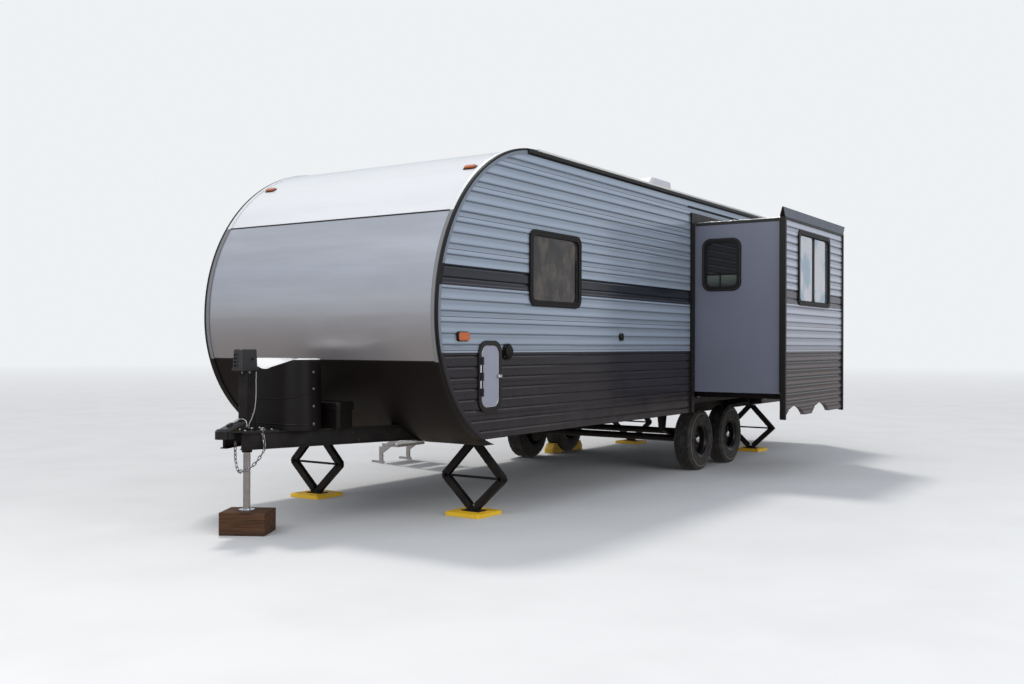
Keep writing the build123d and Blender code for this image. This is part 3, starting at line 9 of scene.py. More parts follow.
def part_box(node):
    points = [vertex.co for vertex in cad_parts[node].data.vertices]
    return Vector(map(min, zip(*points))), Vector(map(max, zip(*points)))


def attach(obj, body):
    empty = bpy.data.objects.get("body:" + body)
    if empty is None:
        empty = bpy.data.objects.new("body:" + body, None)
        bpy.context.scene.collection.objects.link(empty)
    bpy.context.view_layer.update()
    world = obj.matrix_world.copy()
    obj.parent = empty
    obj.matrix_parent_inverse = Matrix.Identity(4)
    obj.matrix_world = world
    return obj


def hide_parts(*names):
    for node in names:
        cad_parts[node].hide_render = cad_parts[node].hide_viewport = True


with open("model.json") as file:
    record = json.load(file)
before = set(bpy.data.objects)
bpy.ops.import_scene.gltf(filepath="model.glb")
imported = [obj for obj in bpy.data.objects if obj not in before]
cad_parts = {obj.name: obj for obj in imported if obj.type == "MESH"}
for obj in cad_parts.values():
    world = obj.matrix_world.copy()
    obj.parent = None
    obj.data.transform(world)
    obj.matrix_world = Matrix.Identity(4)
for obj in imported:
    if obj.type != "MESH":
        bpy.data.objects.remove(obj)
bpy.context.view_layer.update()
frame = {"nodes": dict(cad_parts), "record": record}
nodes = frame["nodes"]
slot_of = {row["node"]: row["material_slot"] for row in frame["record"]["subparts"]}

# Places on the body, read from the frame
half_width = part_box("left_wall")[1].y
roof_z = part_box("left_wall")[1].z
skirt_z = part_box("lower_siding")[0].z
rear_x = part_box("rear_wall")[0].x
bulge_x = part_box("front_panel_mid")[1].x
seam_low_z, seam_top_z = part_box("front_panel_mid")[0].z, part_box("front_panel_mid")[1].z
inside_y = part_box("front_panel_mid")[1].y
nose_x = bulge_x - 0.035

# Places on the room slide
slide_rear_x, slide_front_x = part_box("slide_shell")[0].x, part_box("slide_shell")[1].x
slide_shell_y, slide_top_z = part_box("slide_shell")[1].y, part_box("slide_shell")[1].z
slide_face_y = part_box("slide_face")[1].y

# The nose outline: two arcs with a short upright between them; its mouldings end behind the bend
LOW_R, TOP_R, LOW_Z, TOP_Z = 1.085, 1.360, 1.600, 1.620
TRIM_OUT, TRIM_REACH = 0.008, 1.150

# Painted stripe, lap lines and ribs of the siding
STRIPE_LOW, STRIPE_HIGH = 1.814, 1.969
LAP_FIRST, LAP_PITCH, LAP_LINE = 0.840, 0.2475, 0.005
RIB_FIRST, RIB_PITCH = 0.7175, 0.0825
DUST_FROM, DUST_FULL = 1.15, 0.62

SIDES = (1, -1)
LEFT, RIGHT, FORWARD, UP = (0, 1, 0), (0, -1, 0), (1, 0, 0), (0, 0, 1)

# Camera at the photograph's viewing angle; the picture is taken to be 1024 x 684
FOCAL_PX, PICTURE_WIDTH, SENSOR = 1021.85, 1024, 36.0
CAMERA_AT = Vector((nose_x + 5.806, 5.765, 1.383))
YAW, PITCH, ROLL = math.radians(33.84), math.radians(0.138), math.radians(0.209)


def add_camera():
    ahead = Vector((-math.cos(YAW) * math.cos(PITCH), -math.sin(YAW) * math.cos(PITCH), math.sin(PITCH)))
    right = ahead.cross(Vector(UP)).normalized()
    up = right.cross(ahead)
    tilted_right = right * math.cos(ROLL) + up * math.sin(ROLL)
    tilted_up = up * math.cos(ROLL) - right * math.sin(ROLL)
    data = bpy.data.cameras.new("camera")
    data.sensor_width = SENSOR
    data.lens = FOCAL_PX / PICTURE_WIDTH * SENSOR
    data.clip_end = 300
    camera = bpy.data.objects.new("camera", data)
    bpy.context.scene.collection.objects.link(camera)
    turn = Matrix((tilted_right, tilted_up, -ahead)).transposed()
    camera.matrix_world = Matrix.Translation(CAMERA_AT) @ turn.to_4x4()
    bpy.context.scene.camera = camera


# Material building blocks
def scaled(color, factor, plus=0.0):
    return tuple(min(1.0, c * factor + plus) for c in color)


class Nodes:
    """Shader nodes of one tree: an input given a socket is linked to it, any other is set to the value."""

    def __init__(self, tree):
        self.tree = tree

    def feed(self, node, inputs):
        for socket, value in inputs.items():
            if isinstance(value, bpy.types.NodeSocket):
                self.tree.links.new(value, node.inputs[socket])
            else:
                node.inputs[socket].default_value = value

    def node(self, kind, inputs, output=0, **settings):
        made = self.tree.nodes.new(kind)
        for key, value in settings.items():
            setattr(made, key, value)
        self.feed(made, inputs)
        return made.outputs[output]

    def coords(self, kind="Object"):
        return self.node("ShaderNodeTexCoord", {}, kind)

    def axis(self, letter, kind="Object"):
        return self.node("ShaderNodeSeparateXYZ", {"Vector": self.coords(kind)}, letter)

    def ray(self, kind):
        return self.node("ShaderNodeLightPath", {}, kind)

    def glow(self, color):
        return self.node("ShaderNodeEmission", {"Color": (*color, 1)})

    def mix(self, share, first, second):
        return self.node("ShaderNodeMixShader", {"Fac": share, 1: first, 2: second})

    def math(self, operation, first, second=0.0):
        return self.node("ShaderNodeMath", {0: first, 1: second}, operation=operation)

    def times(self, first, second):
        return self.math("MULTIPLY", first, second)

    def above(self, value, limit):
        return self.math("GREATER_THAN", value, limit)

    def below(self, value, limit):
        return self.math("LESS_THAN", value, limit)

    def band(self, value, low, high):
        return self.times(self.above(value, low), self.below(value, high))

    def fit(self, value, low, high, to_low=0.0, to_high=1.0):
        return self.node("ShaderNodeMapRange", dict(enumerate((value, low, high, to_low, to_high))))

    def repeat(self, value, start, pitch):
        """0 to 1 over each pitch from start."""
        return self.math("FRACT", self.math("DIVIDE", self.math("SUBTRACT", value, start), pitch))


class Finish(Nodes):
    """One Principled material, with short calls for the textures that feed it."""

    def __init__(self, name, color, roughness, metallic=0.0, **sockets):
        self.material = bpy.data.materials.new(name)
        self.material.use_nodes = True
        super().__init__(self.material.node_tree)
        self.shader = self.tree.nodes["Principled BSDF"]
        self.base = (*color, 1)
        self.put(Base_Color=self.base, Roughness=roughness, Metallic=metallic, **sockets)

    def put(self, **sockets):
        self.feed(self.shader, {name.replace("_", " "): value for name, value in sockets.items()})

    def place(self, stretch=(1, 1, 1), turn=0.0):
        """Object coordinates turned about Z, then stretched."""
        return self.node("ShaderNodeMapping", {
            "Vector": self.coords(), "Rotation": (0, 0, turn), "Scale": tuple(1 / s for s in stretch),
        }, vector_type="TEXTURE")

    def noise(self, scale, detail=3.0, stretch=(1, 1, 1), rough=0.5, turn=0.0):
        return self.node("ShaderNodeTexNoise", {
            "Scale": scale, "Detail": detail, "Roughness": rough, "Vector": self.place(stretch, turn),
        }, "Fac")

    def patches(self, scale, detail, low, high, stretch=(1, 1, 1), rough=0.5):
        """Noise that rises from 0 at low to 1 at high."""
        return self.fit(self.noise(scale, detail, stretch, rough), low, high)

    def tint(self, mask, color, share=1.0):
        """The base colour turns to color by share where mask is 1."""
        factor = mask if share == 1.0 else self.times(mask, share)
        self.base = self.node("ShaderNodeMix", {"Factor": factor, "A": self.base, "B": (*color, 1)},
                              "Result", data_type="RGBA")
        self.put(Base_Color=self.base)

    def vary(self, socket, mask, low, high):
        self.put(**{socket: self.fit(mask, 0.0, 1.0, low, high)})

    def bump(self, height, distance, strength=1.0):
        inputs = {"Distance": distance, "Strength": strength, "Height": height}
        before = self.shader.inputs["Normal"].links
        if before:
            inputs["Normal"] = before[0].from_socket
        self.put(Normal=self.node("ShaderNodeBump", inputs, "Normal"))

    def flutes(self, scale, distance, strength):
        """Fine parallel ridges across X."""
        wave = self.node("ShaderNodeTexWave", {"Scale": scale, "Vector": self.place()}, "Fac",
                         bands_direction="X")
        self.bump(wave, distance, strength)


def siding(name, color, shade_and_lap, stripe=None, painted_rib_light=0.5, painted_light_lift=1.35):
    """Rolled aluminium: ribs with painted highlights and painted shading, lap lines, rain streaks, road dust
    and a painted stripe if asked.
    """
    paint = Finish(name, color, 0.17, 0.35)
    paint.tint(paint.patches(3.0, 5, 0.42, 0.75, (1.0, 1.0, 0.08)), scaled(color, 0.8), 0.3)
    paint.tint(paint.patches(0.5, 2, 0.35, 0.65, (0.5, 0.5, 2.0)), scaled(color, 1.12), 0.6)
    height = paint.axis("Z")
    rise = paint.repeat(height, RIB_FIRST - 8 * RIB_PITCH, RIB_PITCH)
    # Painted highlight on the lower part of each rib, then painted warm shading on its upper part
    painted_rib_highlight = paint.times(paint.fit(rise, 0.05, 0.25), paint.fit(rise, 0.65, 0.40))
    paint.tint(painted_rib_highlight, scaled(color, painted_light_lift), painted_rib_light)
    paint.tint(paint.fit(rise, 0.5, 0.95), WARM_SHADE, painted_rib_light * 0.4)
    # Painted shading just above each groove, its strength uneven at random
    uneven = paint.fit(paint.noise(1.1, 4, (0.6, 0.6, 6.0)), 0.3, 0.7, 0.5, 1.0)
    foot = paint.fit(rise, 0.06, 0.20, 1.0, 0.0)
    paint.tint(paint.times(foot, uneven), shade_and_lap, 0.65)
    if stripe:
        paint.tint(paint.band(height, STRIPE_LOW, STRIPE_HIGH), stripe, 0.96)
    # Lap lines: dark joints, in the same colour as the painted groove shading
    lap = paint.repeat(height, LAP_FIRST - LAP_PITCH * 4, LAP_PITCH)
    paint.tint(paint.below(lap, LAP_LINE / LAP_PITCH), shade_and_lap)
    dust = paint.times(paint.fit(height, DUST_FROM, DUST_FULL), paint.patches(7, 6, 0.35, 0.7))
    paint.tint(dust, (0.20, 0.17, 0.14), 0.10)
    paint.vary("Roughness", paint.noise(9, 4), 0.12, 0.26)
    paint.bump(paint.noise(2.2, 2, (0.35, 0.35, 3.0)), 0.003, 0.4)
    return paint.material


def trim_finish(name, siding_top):
    """Black corner moulding; its lapped legs take the colours of the panels and siding that they lie on."""
    paint = Finish(name, BLACK_TRIM, 0.38, 0.2, Specular_IOR_Level=0.3)
    x, z = paint.axis("X"), paint.axis("Z")

    def inside(radius, centre_z):
        """1 where a point is further inside an arc of the nose than the black line is wide."""
        dx, dz = paint.math("SUBTRACT", x, bulge_x - radius), paint.math("SUBTRACT", z, centre_z)
        reach = paint.math("SQRT", paint.math("ADD", paint.times(dx, dx), paint.times(dz, dz)))
        return paint.below(paint.math("SUBTRACT", reach, radius), -TRIM_SEEN_SIDE)

    top = paint.above(z, TOP_Z)
    within = paint.math("ADD", paint.times(top, inside(TOP_R, TOP_Z)),
                        paint.times(paint.math("SUBTRACT", 1.0, top), inside(LOW_R, LOW_Z)))
    nose = paint.above(x, nose_x - TRIM_REACH + 0.001)
    front = paint.below(paint.math("ABSOLUTE", paint.axis("Y")), half_width - TRIM_SEEN_FRONT)
    front = paint.times(front, nose)
    side = paint.times(paint.times(within, nose), paint.math("SUBTRACT", 1.0, front))
    for leg, low, high, color in (
        (front, seam_top_z, 4.0, PANEL_WHITE), (front, seam_low_z, seam_top_z, LEG_SILVER),
        (side, siding_top, 4.0, LEG_SIDING), (side, STRIPE_LOW, STRIPE_HIGH, STRIPE_COLOR),
        (side, 0.0, siding_top, CHARCOAL),
    ):
        paint.tint(paint.times(leg, paint.band(z, low, high)), color)
    paint.bump(paint.noise(160, 2), 0.0003, 0.3)
    return paint.material


def gloss_panel(name, color, metallic, roughness, ripple, coat=0.8, foot=None, painted_light_lift=0.86, **sockets):
    """Gel-coated or metallic sheet with soft ripples and patches of painted cloud reflection; if foot is
    given, it turns to that painted ground reflection towards its lower seam.
    """
    paint = Finish(name, color, roughness, metallic, Coat_Weight=coat, Coat_Roughness=0.05, **sockets)
    # Painted cloud reflection: soft patches, lighter or darker than the panel
    paint.tint(paint.patches(1.3, 5, 0.42, 0.70, (0.7, 0.3, 3.2), 0.6), scaled(color, painted_light_lift), 0.6)
    if foot:
        # Painted ground reflection, strongest at the lower seam
        paint.tint(paint.fit(paint.axis("Z"), seam_low_z + 0.70, seam_low_z + 0.1), foot, 0.85)
    paint.bump(paint.noise(1.6, 2, (1.0, 0.5, 2.2)), ripple, 0.6)
    paint.vary("Roughness", paint.noise(6, 5), roughness * 0.8, roughness * 1.35)
    return paint.material


def smooth_finish(name, color, roughness=0.4, metallic=0.0, wear=0.15, grain=160, **sockets):
    """Painted or moulded surface with worn lighter patches and a fine grain."""
    paint = Finish(name, color, roughness, metallic, **sockets)
    paint.tint(paint.patches(5, 6, 0.38, 0.78, rough=0.6), scaled(color, 1.6, 0.01), wear)
    paint.vary("Roughness", paint.noise(22, 4), roughness * 0.8, min(1.0, roughness * 1.25))
    paint.bump(paint.noise(grain, 2), 0.0004, 0.4)
    return paint


def smooth_paint(*values, **sockets):
    return smooth_finish(*values, **sockets).material


def chassis_finish(name):
    """Black frame paint with pale road dust and rust specks."""
    paint = smooth_finish(name, (0.006, 0.0045, 0.004), 0.55, 0.0, 0.1, Specular_IOR_Level=0.25)
    paint.tint(paint.above(paint.noise(24, 6, rough=0.7), 0.66), (0.10, 0.045, 0.02), 0.5)
    paint.tint(paint.patches(8, 6, 0.45, 0.8), (0.10, 0.08, 0.065), 0.12)
    return paint.material


def underbelly_finish(name):
    """Black corrugated membrane below the floor, lighter along its ridges."""
    paint = smooth_finish(name, (0.020, 0.019, 0.018), 0.62)
    ridge = paint.math("PINGPONG", paint.repeat(paint.axis("X"), -10.0, 0.02), 0.5)
    paint.tint(paint.fit(ridge, 0.3, 0.5), (0.10, 0.09, 0.08), 0.35)
    paint.bump(ridge, 0.003, 0.8)
    return paint.material


def hardware_finish(name, color, leaf_x=None):
    """Smooth panel with black proud parts, bright metal behind the hinge and a pale leaf beyond leaf_x."""
    paint = smooth_finish(name, color, 0.35)
    x = paint.axis("X")
    proud = paint.above(paint.math("ABSOLUTE", paint.axis("Y")), half_width + PROUD_OUT)
    paint.tint(proud, BLACK_TRIM)
    metal = paint.times(proud, paint.below(x, hatch_hinge_x))
    paint.tint(metal, (0.62, 0.62, 0.61))
    paint.vary("Metallic", metal, 0.0, 1.0)
    if leaf_x:
        paint.tint(paint.times(proud, paint.above(x, leaf_x)), (0.50, 0.50, 0.50))
    return paint.material


def timber_finish(name, turn):
    """Weathered block: long grain, dark checks, and darker towards its foot."""
    paint = Finish(name, (0.050, 0.022, 0.011), 0.8, Specular_IOR_Level=0.2)
    grain = paint.noise(60, 8, (1.0, 0.06, 1.0), 0.65, turn)
    paint.tint(paint.fit(grain, 0.35, 0.75), (0.12, 0.058, 0.029))
    paint.tint(paint.below(paint.noise(38, 5, (1.0, 0.05, 1.0), 0.5, turn), 0.40), (0.035, 0.02, 0.012))
    paint.tint(paint.fit(paint.axis("Z"), 0.06, 0.0, 0.0, 0.6), (0.03, 0.02, 0.015))
    paint.bump(grain, 0.004, 0.8)
    return paint.material


def rubber_finish(name):
    paint = Finish(name, (0.022, 0.021, 0.020), 0.72, Specular_IOR_Level=0.35)
    paint.tint(paint.patches(16, 6, 0.42, 0.72), (0.12, 0.105, 0.09), 0.35)
    paint.bump(paint.noise(220, 3), 0.0006, 0.6)
    return paint.material


def lens_finish(name, color):
    """Moulded lens with fine upright flutes and a faint painted glow."""
    paint = Finish(name, color, 0.12, Coat_Weight=0.6, Coat_Roughness=0.03, Emission_Strength=0.12)
    # Emission in the lens colour: a painted glow
    paint.put(Emission_Color=(*color, 1))
    paint.flutes(60, 0.0015, 0.7)
    paint.tint(paint.noise(40, 3), scaled(color, 0.4), 0.3)
    return paint.material


def glass_finish(name, color, painted_reflection):
    """Tinted pane before a dark room, with a mottled painted reflection."""
    paint = Finish(name, color, 0.05, 0.0, Specular_IOR_Level=0.5)
    # Painted reflection: mottled lighter patches, then darker ones within them
    paint.tint(paint.patches(6.0, 6, 0.42, 0.62, (1, 1, 0.7), 0.65), painted_reflection, 0.8)
    paint.tint(paint.patches(9.0, 5, 0.50, 0.58, (1.4, 1, 0.8), 0.6), scaled(painted_reflection, 0.2), 0.6)
    paint.bump(paint.noise(1.5, 1), 0.003, 0.25)
    return paint.material


def slide_glass_finish(name):
    """Mirrored solar glass with a painted blue sky reflection on the face; dark glass on the end wall, with
    painted room light below a half-drawn blind.
    """
    paint = Finish(name, GLASS, 0.05)
    height = paint.axis("Z")
    # Painted room light in the lower panes, strongest just below the blind
    painted_room_light = paint.times(paint.below(height, BLIND_Z), paint.fit(height, PANE_FOOT_Z, BLIND_Z, 0.15, 1.0))
    paint.tint(painted_room_light, PAINTED_ROOM_LIGHT)
    face = paint.above(paint.axis("Y"), slide_shell_y)
    paint.tint(face, SOLAR_GLASS)
    # Painted sky reflection: blue patches on the face's panes
    painted_sky_reflection = paint.patches(3.1, 4, 0.48, 0.58, (1.0, 1.0, 0.8))
    paint.tint(paint.times(painted_sky_reflection, face), PAINTED_SKY_BLUE, 0.7)
    paint.vary("Metallic", face, 0.0, 0.85)
    paint.bump(paint.noise(1.5, 1), 0.003, 0.25)
    return paint.material


def cover_finish(name, crown_from):
    """Moulded black plastic whose crown, where it faces up, is painted pale as a sky reflection."""
    paint = smooth_finish(name, *BLACK_PLASTIC, Specular_IOR_Level=0.25)
    # Painted pale sky reflection on the faces that look up, above crown_from
    painted_crown_reflection = paint.fit(paint.axis("Z", "Normal"), 0.55, 0.75)
    paint.tint(paint.times(painted_crown_reflection, paint.above(paint.axis("Z"), crown_from)), (0.68, 0.68, 0.67))
    return paint.material


def cloth_finish(name, color):
    paint = Finish(name, color, 0.9, Sheen_Weight=0.3)
    paint.flutes(260, 0.0008, 0.6)
    paint.tint(paint.noise(6, 5), scaled(color, 1.6), 0.3)
    return paint.material


def membrane_finish(name):
    paint = Finish(name, (0.66, 0.66, 0.63), 0.8)
    paint.tint(paint.patches(1.2, 6, 0.4, 0.75), (0.46, 0.44, 0.40), 0.45)
    paint.bump(paint.noise(90, 3), 0.001, 0.5)
    return paint.material


def tread_plate(name):
    paint = Finish(name, (0.55, 0.55, 0.54), 0.42, 0.9)
    paint.tint(paint.patches(12, 5, 0.4, 0.8), (0.25, 0.24, 0.23), 0.4)
    paint.bump(paint.noise(120, 2, (1.0, 4.0, 1.0)), 0.0015, 0.6)
    return paint.material


def bright_metal(name, color, roughness):
    paint = Finish(name, color, roughness, 1.0)
    paint.vary("Roughness", paint.noise(30, 4), roughness * 0.7, roughness * 1.6)
    paint.tint(paint.patches(18, 5, 0.45, 0.8), scaled(color, 0.5), 0.4)
    return paint.material


# Colours, and the few places where a finish changes
# Siding colours, each paired with a colour that is painted shading in the rib grooves and also the colour of
# the lap lines
SILVER, SILVER_SHADE_AND_LAP = (0.275, 0.325, 0.39), (0.085, 0.080, 0.098)
CHARCOAL, CHARCOAL_SHADE_AND_LAP = (0.026, 0.024, 0.029), (0.006, 0.005, 0.005)
# The slide face's colours are painted sunlit copies of the siding's, lighter, with their own groove shading
# and lap colours
SUNLIT_FACE_SILVER, SUNLIT_FACE_SILVER_SHADE_AND_LAP = (0.36, 0.385, 0.45), (0.12, 0.11, 0.115)
SUNLIT_FACE_CHARCOAL, SUNLIT_FACE_CHARCOAL_SHADE_AND_LAP = (0.062, 0.056, 0.060), (0.010, 0.008, 0.007)
SUNLIT_FACE_STRIPE, STRIPE_COLOR, WARM_SHADE = (0.060, 0.058, 0.072), (0.006, 0.006, 0.011), (0.045, 0.035, 0.032)
# Nose panel colours; the last is a painted ground reflection for the silver panel's lower part
PANEL_WHITE, PANEL_SILVER, SILVER_PAINTED_GROUND_REFLECTION = (0.70, 0.71, 0.72), (0.40, 0.42, 0.46), (0.35, 0.325, 0.325)
LEG_SILVER, LEG_SIDING = (0.20, 0.20, 0.21), (0.17, 0.195, 0.235)
BLACK_TRIM, BLACK_FRAME = (0.009, 0.007, 0.006), (0.005, 0.004, 0.004)
# Glass colours: the dark tint, a painted reflection for the body windows, and painted room light for the
# slide's end window
GLASS, GLASS_PAINTED_REFLECTION, PAINTED_ROOM_LIGHT = (0.008, 0.007, 0.007), (0.070, 0.055, 0.042), (0.10, 0.125, 0.10)
# The second colour is a painted blue sky reflection
SOLAR_GLASS, PAINTED_SKY_BLUE = (0.62, 0.63, 0.66), (0.22, 0.38, 0.50)
BLACK_PLASTIC = ((0.005, 0.0035, 0.003), 0.45, 0.0, 0.08)
TRIM_SEEN_SIDE, TRIM_SEEN_FRONT = 0.010, 0.012
BLIND_Z, PANE_FOOT_Z, PROUD_OUT = 2.139, 2.007, 0.0125
BLOCK_TURN = math.radians(30)
hatch_hinge_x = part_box("storage_door_left")[1].x - 0.030

finishes = {
    "silver_siding": siding("siding_silver", SILVER, SILVER_SHADE_AND_LAP, STRIPE_COLOR),
    "dark_siding": siding("siding_charcoal", CHARCOAL, CHARCOAL_SHADE_AND_LAP),
    "silver_panel": gloss_panel("panel_silver", PANEL_SILVER, 0.6, 0.30, 0.008, 0.3, SILVER_PAINTED_GROUND_REFLECTION, 1.4),
    "white_panel": gloss_panel("panel_white", PANEL_WHITE, 0.0, 0.16, 0.006, 0.5),
    "black_panel": gloss_panel("panel_black", (0.006, 0.004, 0.0035), 0.0, 0.42, 0.003, 0.0,
                               Specular_IOR_Level=0.25),
    "roof_membrane": membrane_finish("membrane"),
    "dark_trim": smooth_paint("trim_bronze", BLACK_TRIM, 0.38, 0.2, 0.1, Specular_IOR_Level=0.3),
    "window_frame": smooth_paint("frame_black", BLACK_FRAME, 0.45, 0.0, 0.06, Specular_IOR_Level=0.25),
    "dark_glass": glass_finish("glass_dark", GLASS, GLASS_PAINTED_REFLECTION),
    "hatch_panel": hardware_finish("panel_hatch", (0.25, 0.26, 0.32)),
    "slide_panel": smooth_paint("panel_slide", (0.140, 0.150, 0.196), 0.36, 0.0, 0.06, Coat_Weight=0.2),
    "fascia_grey": smooth_paint("panel_fascia", (0.080, 0.092, 0.118), 0.38, 0.2),
    "chassis_black": chassis_finish("frame_paint"),
    "floor_board": underbelly_finish("underbelly"),
    "timber": timber_finish("timber_block", BLOCK_TURN),
    "jack_plastic": smooth_paint("plastic_jack", (0.016, 0.015, 0.016), 0.42),
    "jack_steel": bright_metal("zinc_steel", (0.66, 0.67, 0.70), 0.2),
    "pad_yellow": smooth_paint("plastic_yellow", (0.78, 0.47, 0.015), 0.5, 0.0, 0.2),
    "amber_lens": lens_finish("lens_amber", (0.46, 0.092, 0.007)),
    "red_lens": lens_finish("lens_red", (0.42, 0.012, 0.010)),
    "black_plastic": smooth_paint("plastic_black", *BLACK_PLASTIC, Specular_IOR_Level=0.25),
    "step_alloy": tread_plate("alloy_tread"),
    "awning_cloth": cloth_finish("awning_cloth", (0.10, 0.105, 0.12)),
    "shroud_white": smooth_paint("shroud_white", (0.50, 0.50, 0.53), 0.4, 0.0, 0.1),
    "tyre_rubber": rubber_finish("rubber"),
    "rim_paint": smooth_paint("rim_dark", (0.020, 0.019, 0.020), 0.35, 0.5),
    "coupler_black": smooth_paint("coupler_paint", (0.007, 0.006, 0.006), 0.3, 0.0, 0.08),
    "chrome": bright_metal("chrome", (0.78, 0.78, 0.77), 0.12),
    "brass": bright_metal("brass", (0.58, 0.42, 0.17), 0.28),
    "chain_steel": bright_metal("chain_steel", (0.36, 0.36, 0.37), 0.38),
    "screw_steel": bright_metal("screw_steel", (0.42, 0.41, 0.40), 0.35),
    "seal_rubber": smooth_paint("seal_rubber", (0.014, 0.013, 0.013), 0.6),
    "pale_bead": smooth_paint("bead_alloy", (0.55, 0.54, 0.52), 0.3, 0.8),
    "wire_grey": smooth_paint("wire_grey", (0.30, 0.30, 0.30), 0.5),
    # Tan painted highlight for the tyres' moulded sidewall rib
    "rib_painted_highlight": smooth_paint("tyre_rib", (0.13, 0.10, 0.075), 0.7),
    "sealant": smooth_paint("lap_sealant", (0.58, 0.57, 0.54), 0.7, 0.0, 0.3, 60),
    "grit": smooth_paint("grit_strip", (0.022, 0.022, 0.022), 0.9, 0.0, 0.4, 400),
}

# Nodes whose finish differs from the one of their slot
frame_hardware = hardware_finish("frame_hardware", BLACK_FRAME, hatch_hinge_x + 0.0315)
own_finish = {
    "rear_wall": siding("siding_rear", SILVER, SILVER_SHADE_AND_LAP),
    "slide_window_glass": slide_glass_finish("glass_slide"),
    "edge_trims": trim_finish("trim_corner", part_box("lower_siding")[1].z),
    "gas_cover": cover_finish("cover_black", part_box("gas_cover")[0].z + 0.25),
    # The slide's face: painted sunlit copies of the siding, with stronger painted rib light and shading
    "slide_face": siding("siding_face_painted_sunlit", SUNLIT_FACE_SILVER, SUNLIT_FACE_SILVER_SHADE_AND_LAP, SUNLIT_FACE_STRIPE, 0.8, 1.3),
    "slide_face_lower": siding("siding_face_charcoal_painted_sunlit", SUNLIT_FACE_CHARCOAL, SUNLIT_FACE_CHARCOAL_SHADE_AND_LAP, None, 1.0, 2.6),
    "storage_frames": frame_hardware,
    "entry_frame": frame_hardware,
}
for node_name, node_object in nodes.items():
    node_object.data.materials.clear()
    node_object.data.materials.append(own_finish.get(node_name) or finishes[slot_of[node_name]])


# Mesh building blocks
def new_piece(name, bm, material, body="trailer", sharp=35):
    """Smooth-shaded piece made from bm, riding on body."""
    bmesh.ops.recalc_face_normals(bm, faces=bm.faces)
    mesh = bpy.data.meshes.new(name)
    bm.to_mesh(mesh)
    bm.free()
    for polygon in mesh.polygons:
        polygon.use_smooth = True
    mesh.set_sharp_from_angle(angle=math.radians(sharp))
    mesh.materials.append(finishes[material])
    made = bpy.data.objects.new(name, mesh)
    bpy.context.scene.collection.objects.link(made)
    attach(made, body)
    return made


def piece_from(name, parts, material, body="trailer"):
    """One piece from a list of shapes, each a bmesh maker followed by its arguments."""
    bm = bmesh.new()
    for maker, *arguments in parts:
        maker(bm, *arguments)
    new_piece(name, bm, material, body)


def block(bm, centre, size, edge=0.0015, turn=None):
    """Box with rolled edges."""
    matrix = Matrix.Translation(centre) @ (turn or Matrix.Identity(4)) @ Matrix.Diagonal((*size, 1))
    made = bmesh.ops.create_cube(bm, size=1, matrix=matrix)
    edges = list({e for v in made["verts"] for e in v.link_edges})
    bmesh.ops.bevel(bm, geom=edges, offset=edge, segments=2, affect="EDGES", clamp_overlap=True)


def join_rings(bm, rings, closed=False):
    """Skins between rings of vertices, capped at both ends unless the rings close on themselves."""
    for a, b in zip(rings, rings[1:] + (rings[:1] if closed else [])):
        for k in range(len(a)):
            m = (k + 1) % len(a)
            bm.faces.new((a[k], a[m], b[m], b[k]))
    if not closed:
        bm.faces.new(list(reversed(rings[0])))
        bm.faces.new(rings[-1])


def lathe(bm, at, direction, profile, sides=24):
    """Profile of (radius, height along direction) spun about the line through at."""
    facing = Vector(UP).rotation_difference(Vector(direction)).to_matrix().to_4x4()
    matrix = Matrix.Translation(at) @ facing
    turns = [2 * math.pi * i / sides for i in range(sides)]
    join_rings(bm, [
        [bm.verts.new(matrix @ Vector((radius * math.cos(a), radius * math.sin(a), height))) for a in turns]
        for radius, height in profile
    ])


def screw(bm, at, direction, radius=0.0042):
    """Round screw head with a shallow drive recess."""
    lathe(bm, at, direction, (
        (radius, -0.0008), (radius, 0.0008), (radius * 0.85, radius * 0.38), (radius * 0.45, radius * 0.5),
        (radius * 0.30, radius * 0.2),
    ), 10)


def hex_bolt(bm, at, direction, radius=0.009, height=0.006):
    """Hexagon head on a washer."""
    lathe(bm, at, direction, ((radius * 1.35, 0), (radius * 1.35, 0.0015)), 20)
    lathe(bm, at, direction, ((radius, 0.001), (radius, height * 0.85), (radius * 0.9, height)), 6)


def headings(path, closed):
    """Direction of travel at each point of path."""
    found, count = [], len(path)
    for i in range(count):
        before = path[i - 1] if closed or i else path[i]
        after = path[(i + 1) % count] if closed or i < count - 1 else path[i]
        found.append((after - before).normalized())
    return found


def pipe(bm, path, radius, sides=8, closed=False):
    """Round bar along path, its section carried on without twisting."""
    path = [Vector(p) for p in path]
    rings, side = [], None
    for point, along in zip(path, headings(path, closed)):
        side = (side - along * side.dot(along)).normalized() if side else along.orthogonal().normalized()
        up = along.cross(side)
        turns = [2 * math.pi * k / sides for k in range(sides)]
        rings.append([bm.verts.new(point + (side * math.cos(a) + up * math.sin(a)) * radius) for a in turns])
    join_rings(bm, rings, closed)


def sweep(bm, path, section, outward, closed=False):
    """Sweeps section, points of (across, out), along a flat path; out is the path's plane normal."""
    path, out = [Vector(p) for p in path], Vector(outward)
    rings = []
    for point, along in zip(path, headings(path, closed)):
        across = along.cross(out).normalized()
        rings.append([bm.verts.new(point + across * u + out * v) for u, v in section])
    join_rings(bm, rings, closed)


def polar(radius, angle, y=0.0):
    """Point at an angle round the Y axis, y along it."""
    return Vector((radius * math.cos(angle), y, radius * math.sin(angle)))


def rounded_loop(width, height, radius, steps=8):
    """Points of a rounded rectangle about the origin, anticlockwise."""
    points = []
    for cx, cy, start in ((1, 1, 0), (-1, 1, 90), (-1, -1, 180), (1, -1, 270)):
        for i in range(steps + 1):
            a = math.radians(start + 90 * i / steps)
            points.append((cx * (width / 2 - radius) + radius * math.cos(a),
                           cy * (height / 2 - radius) + radius * math.sin(a)))
    return points


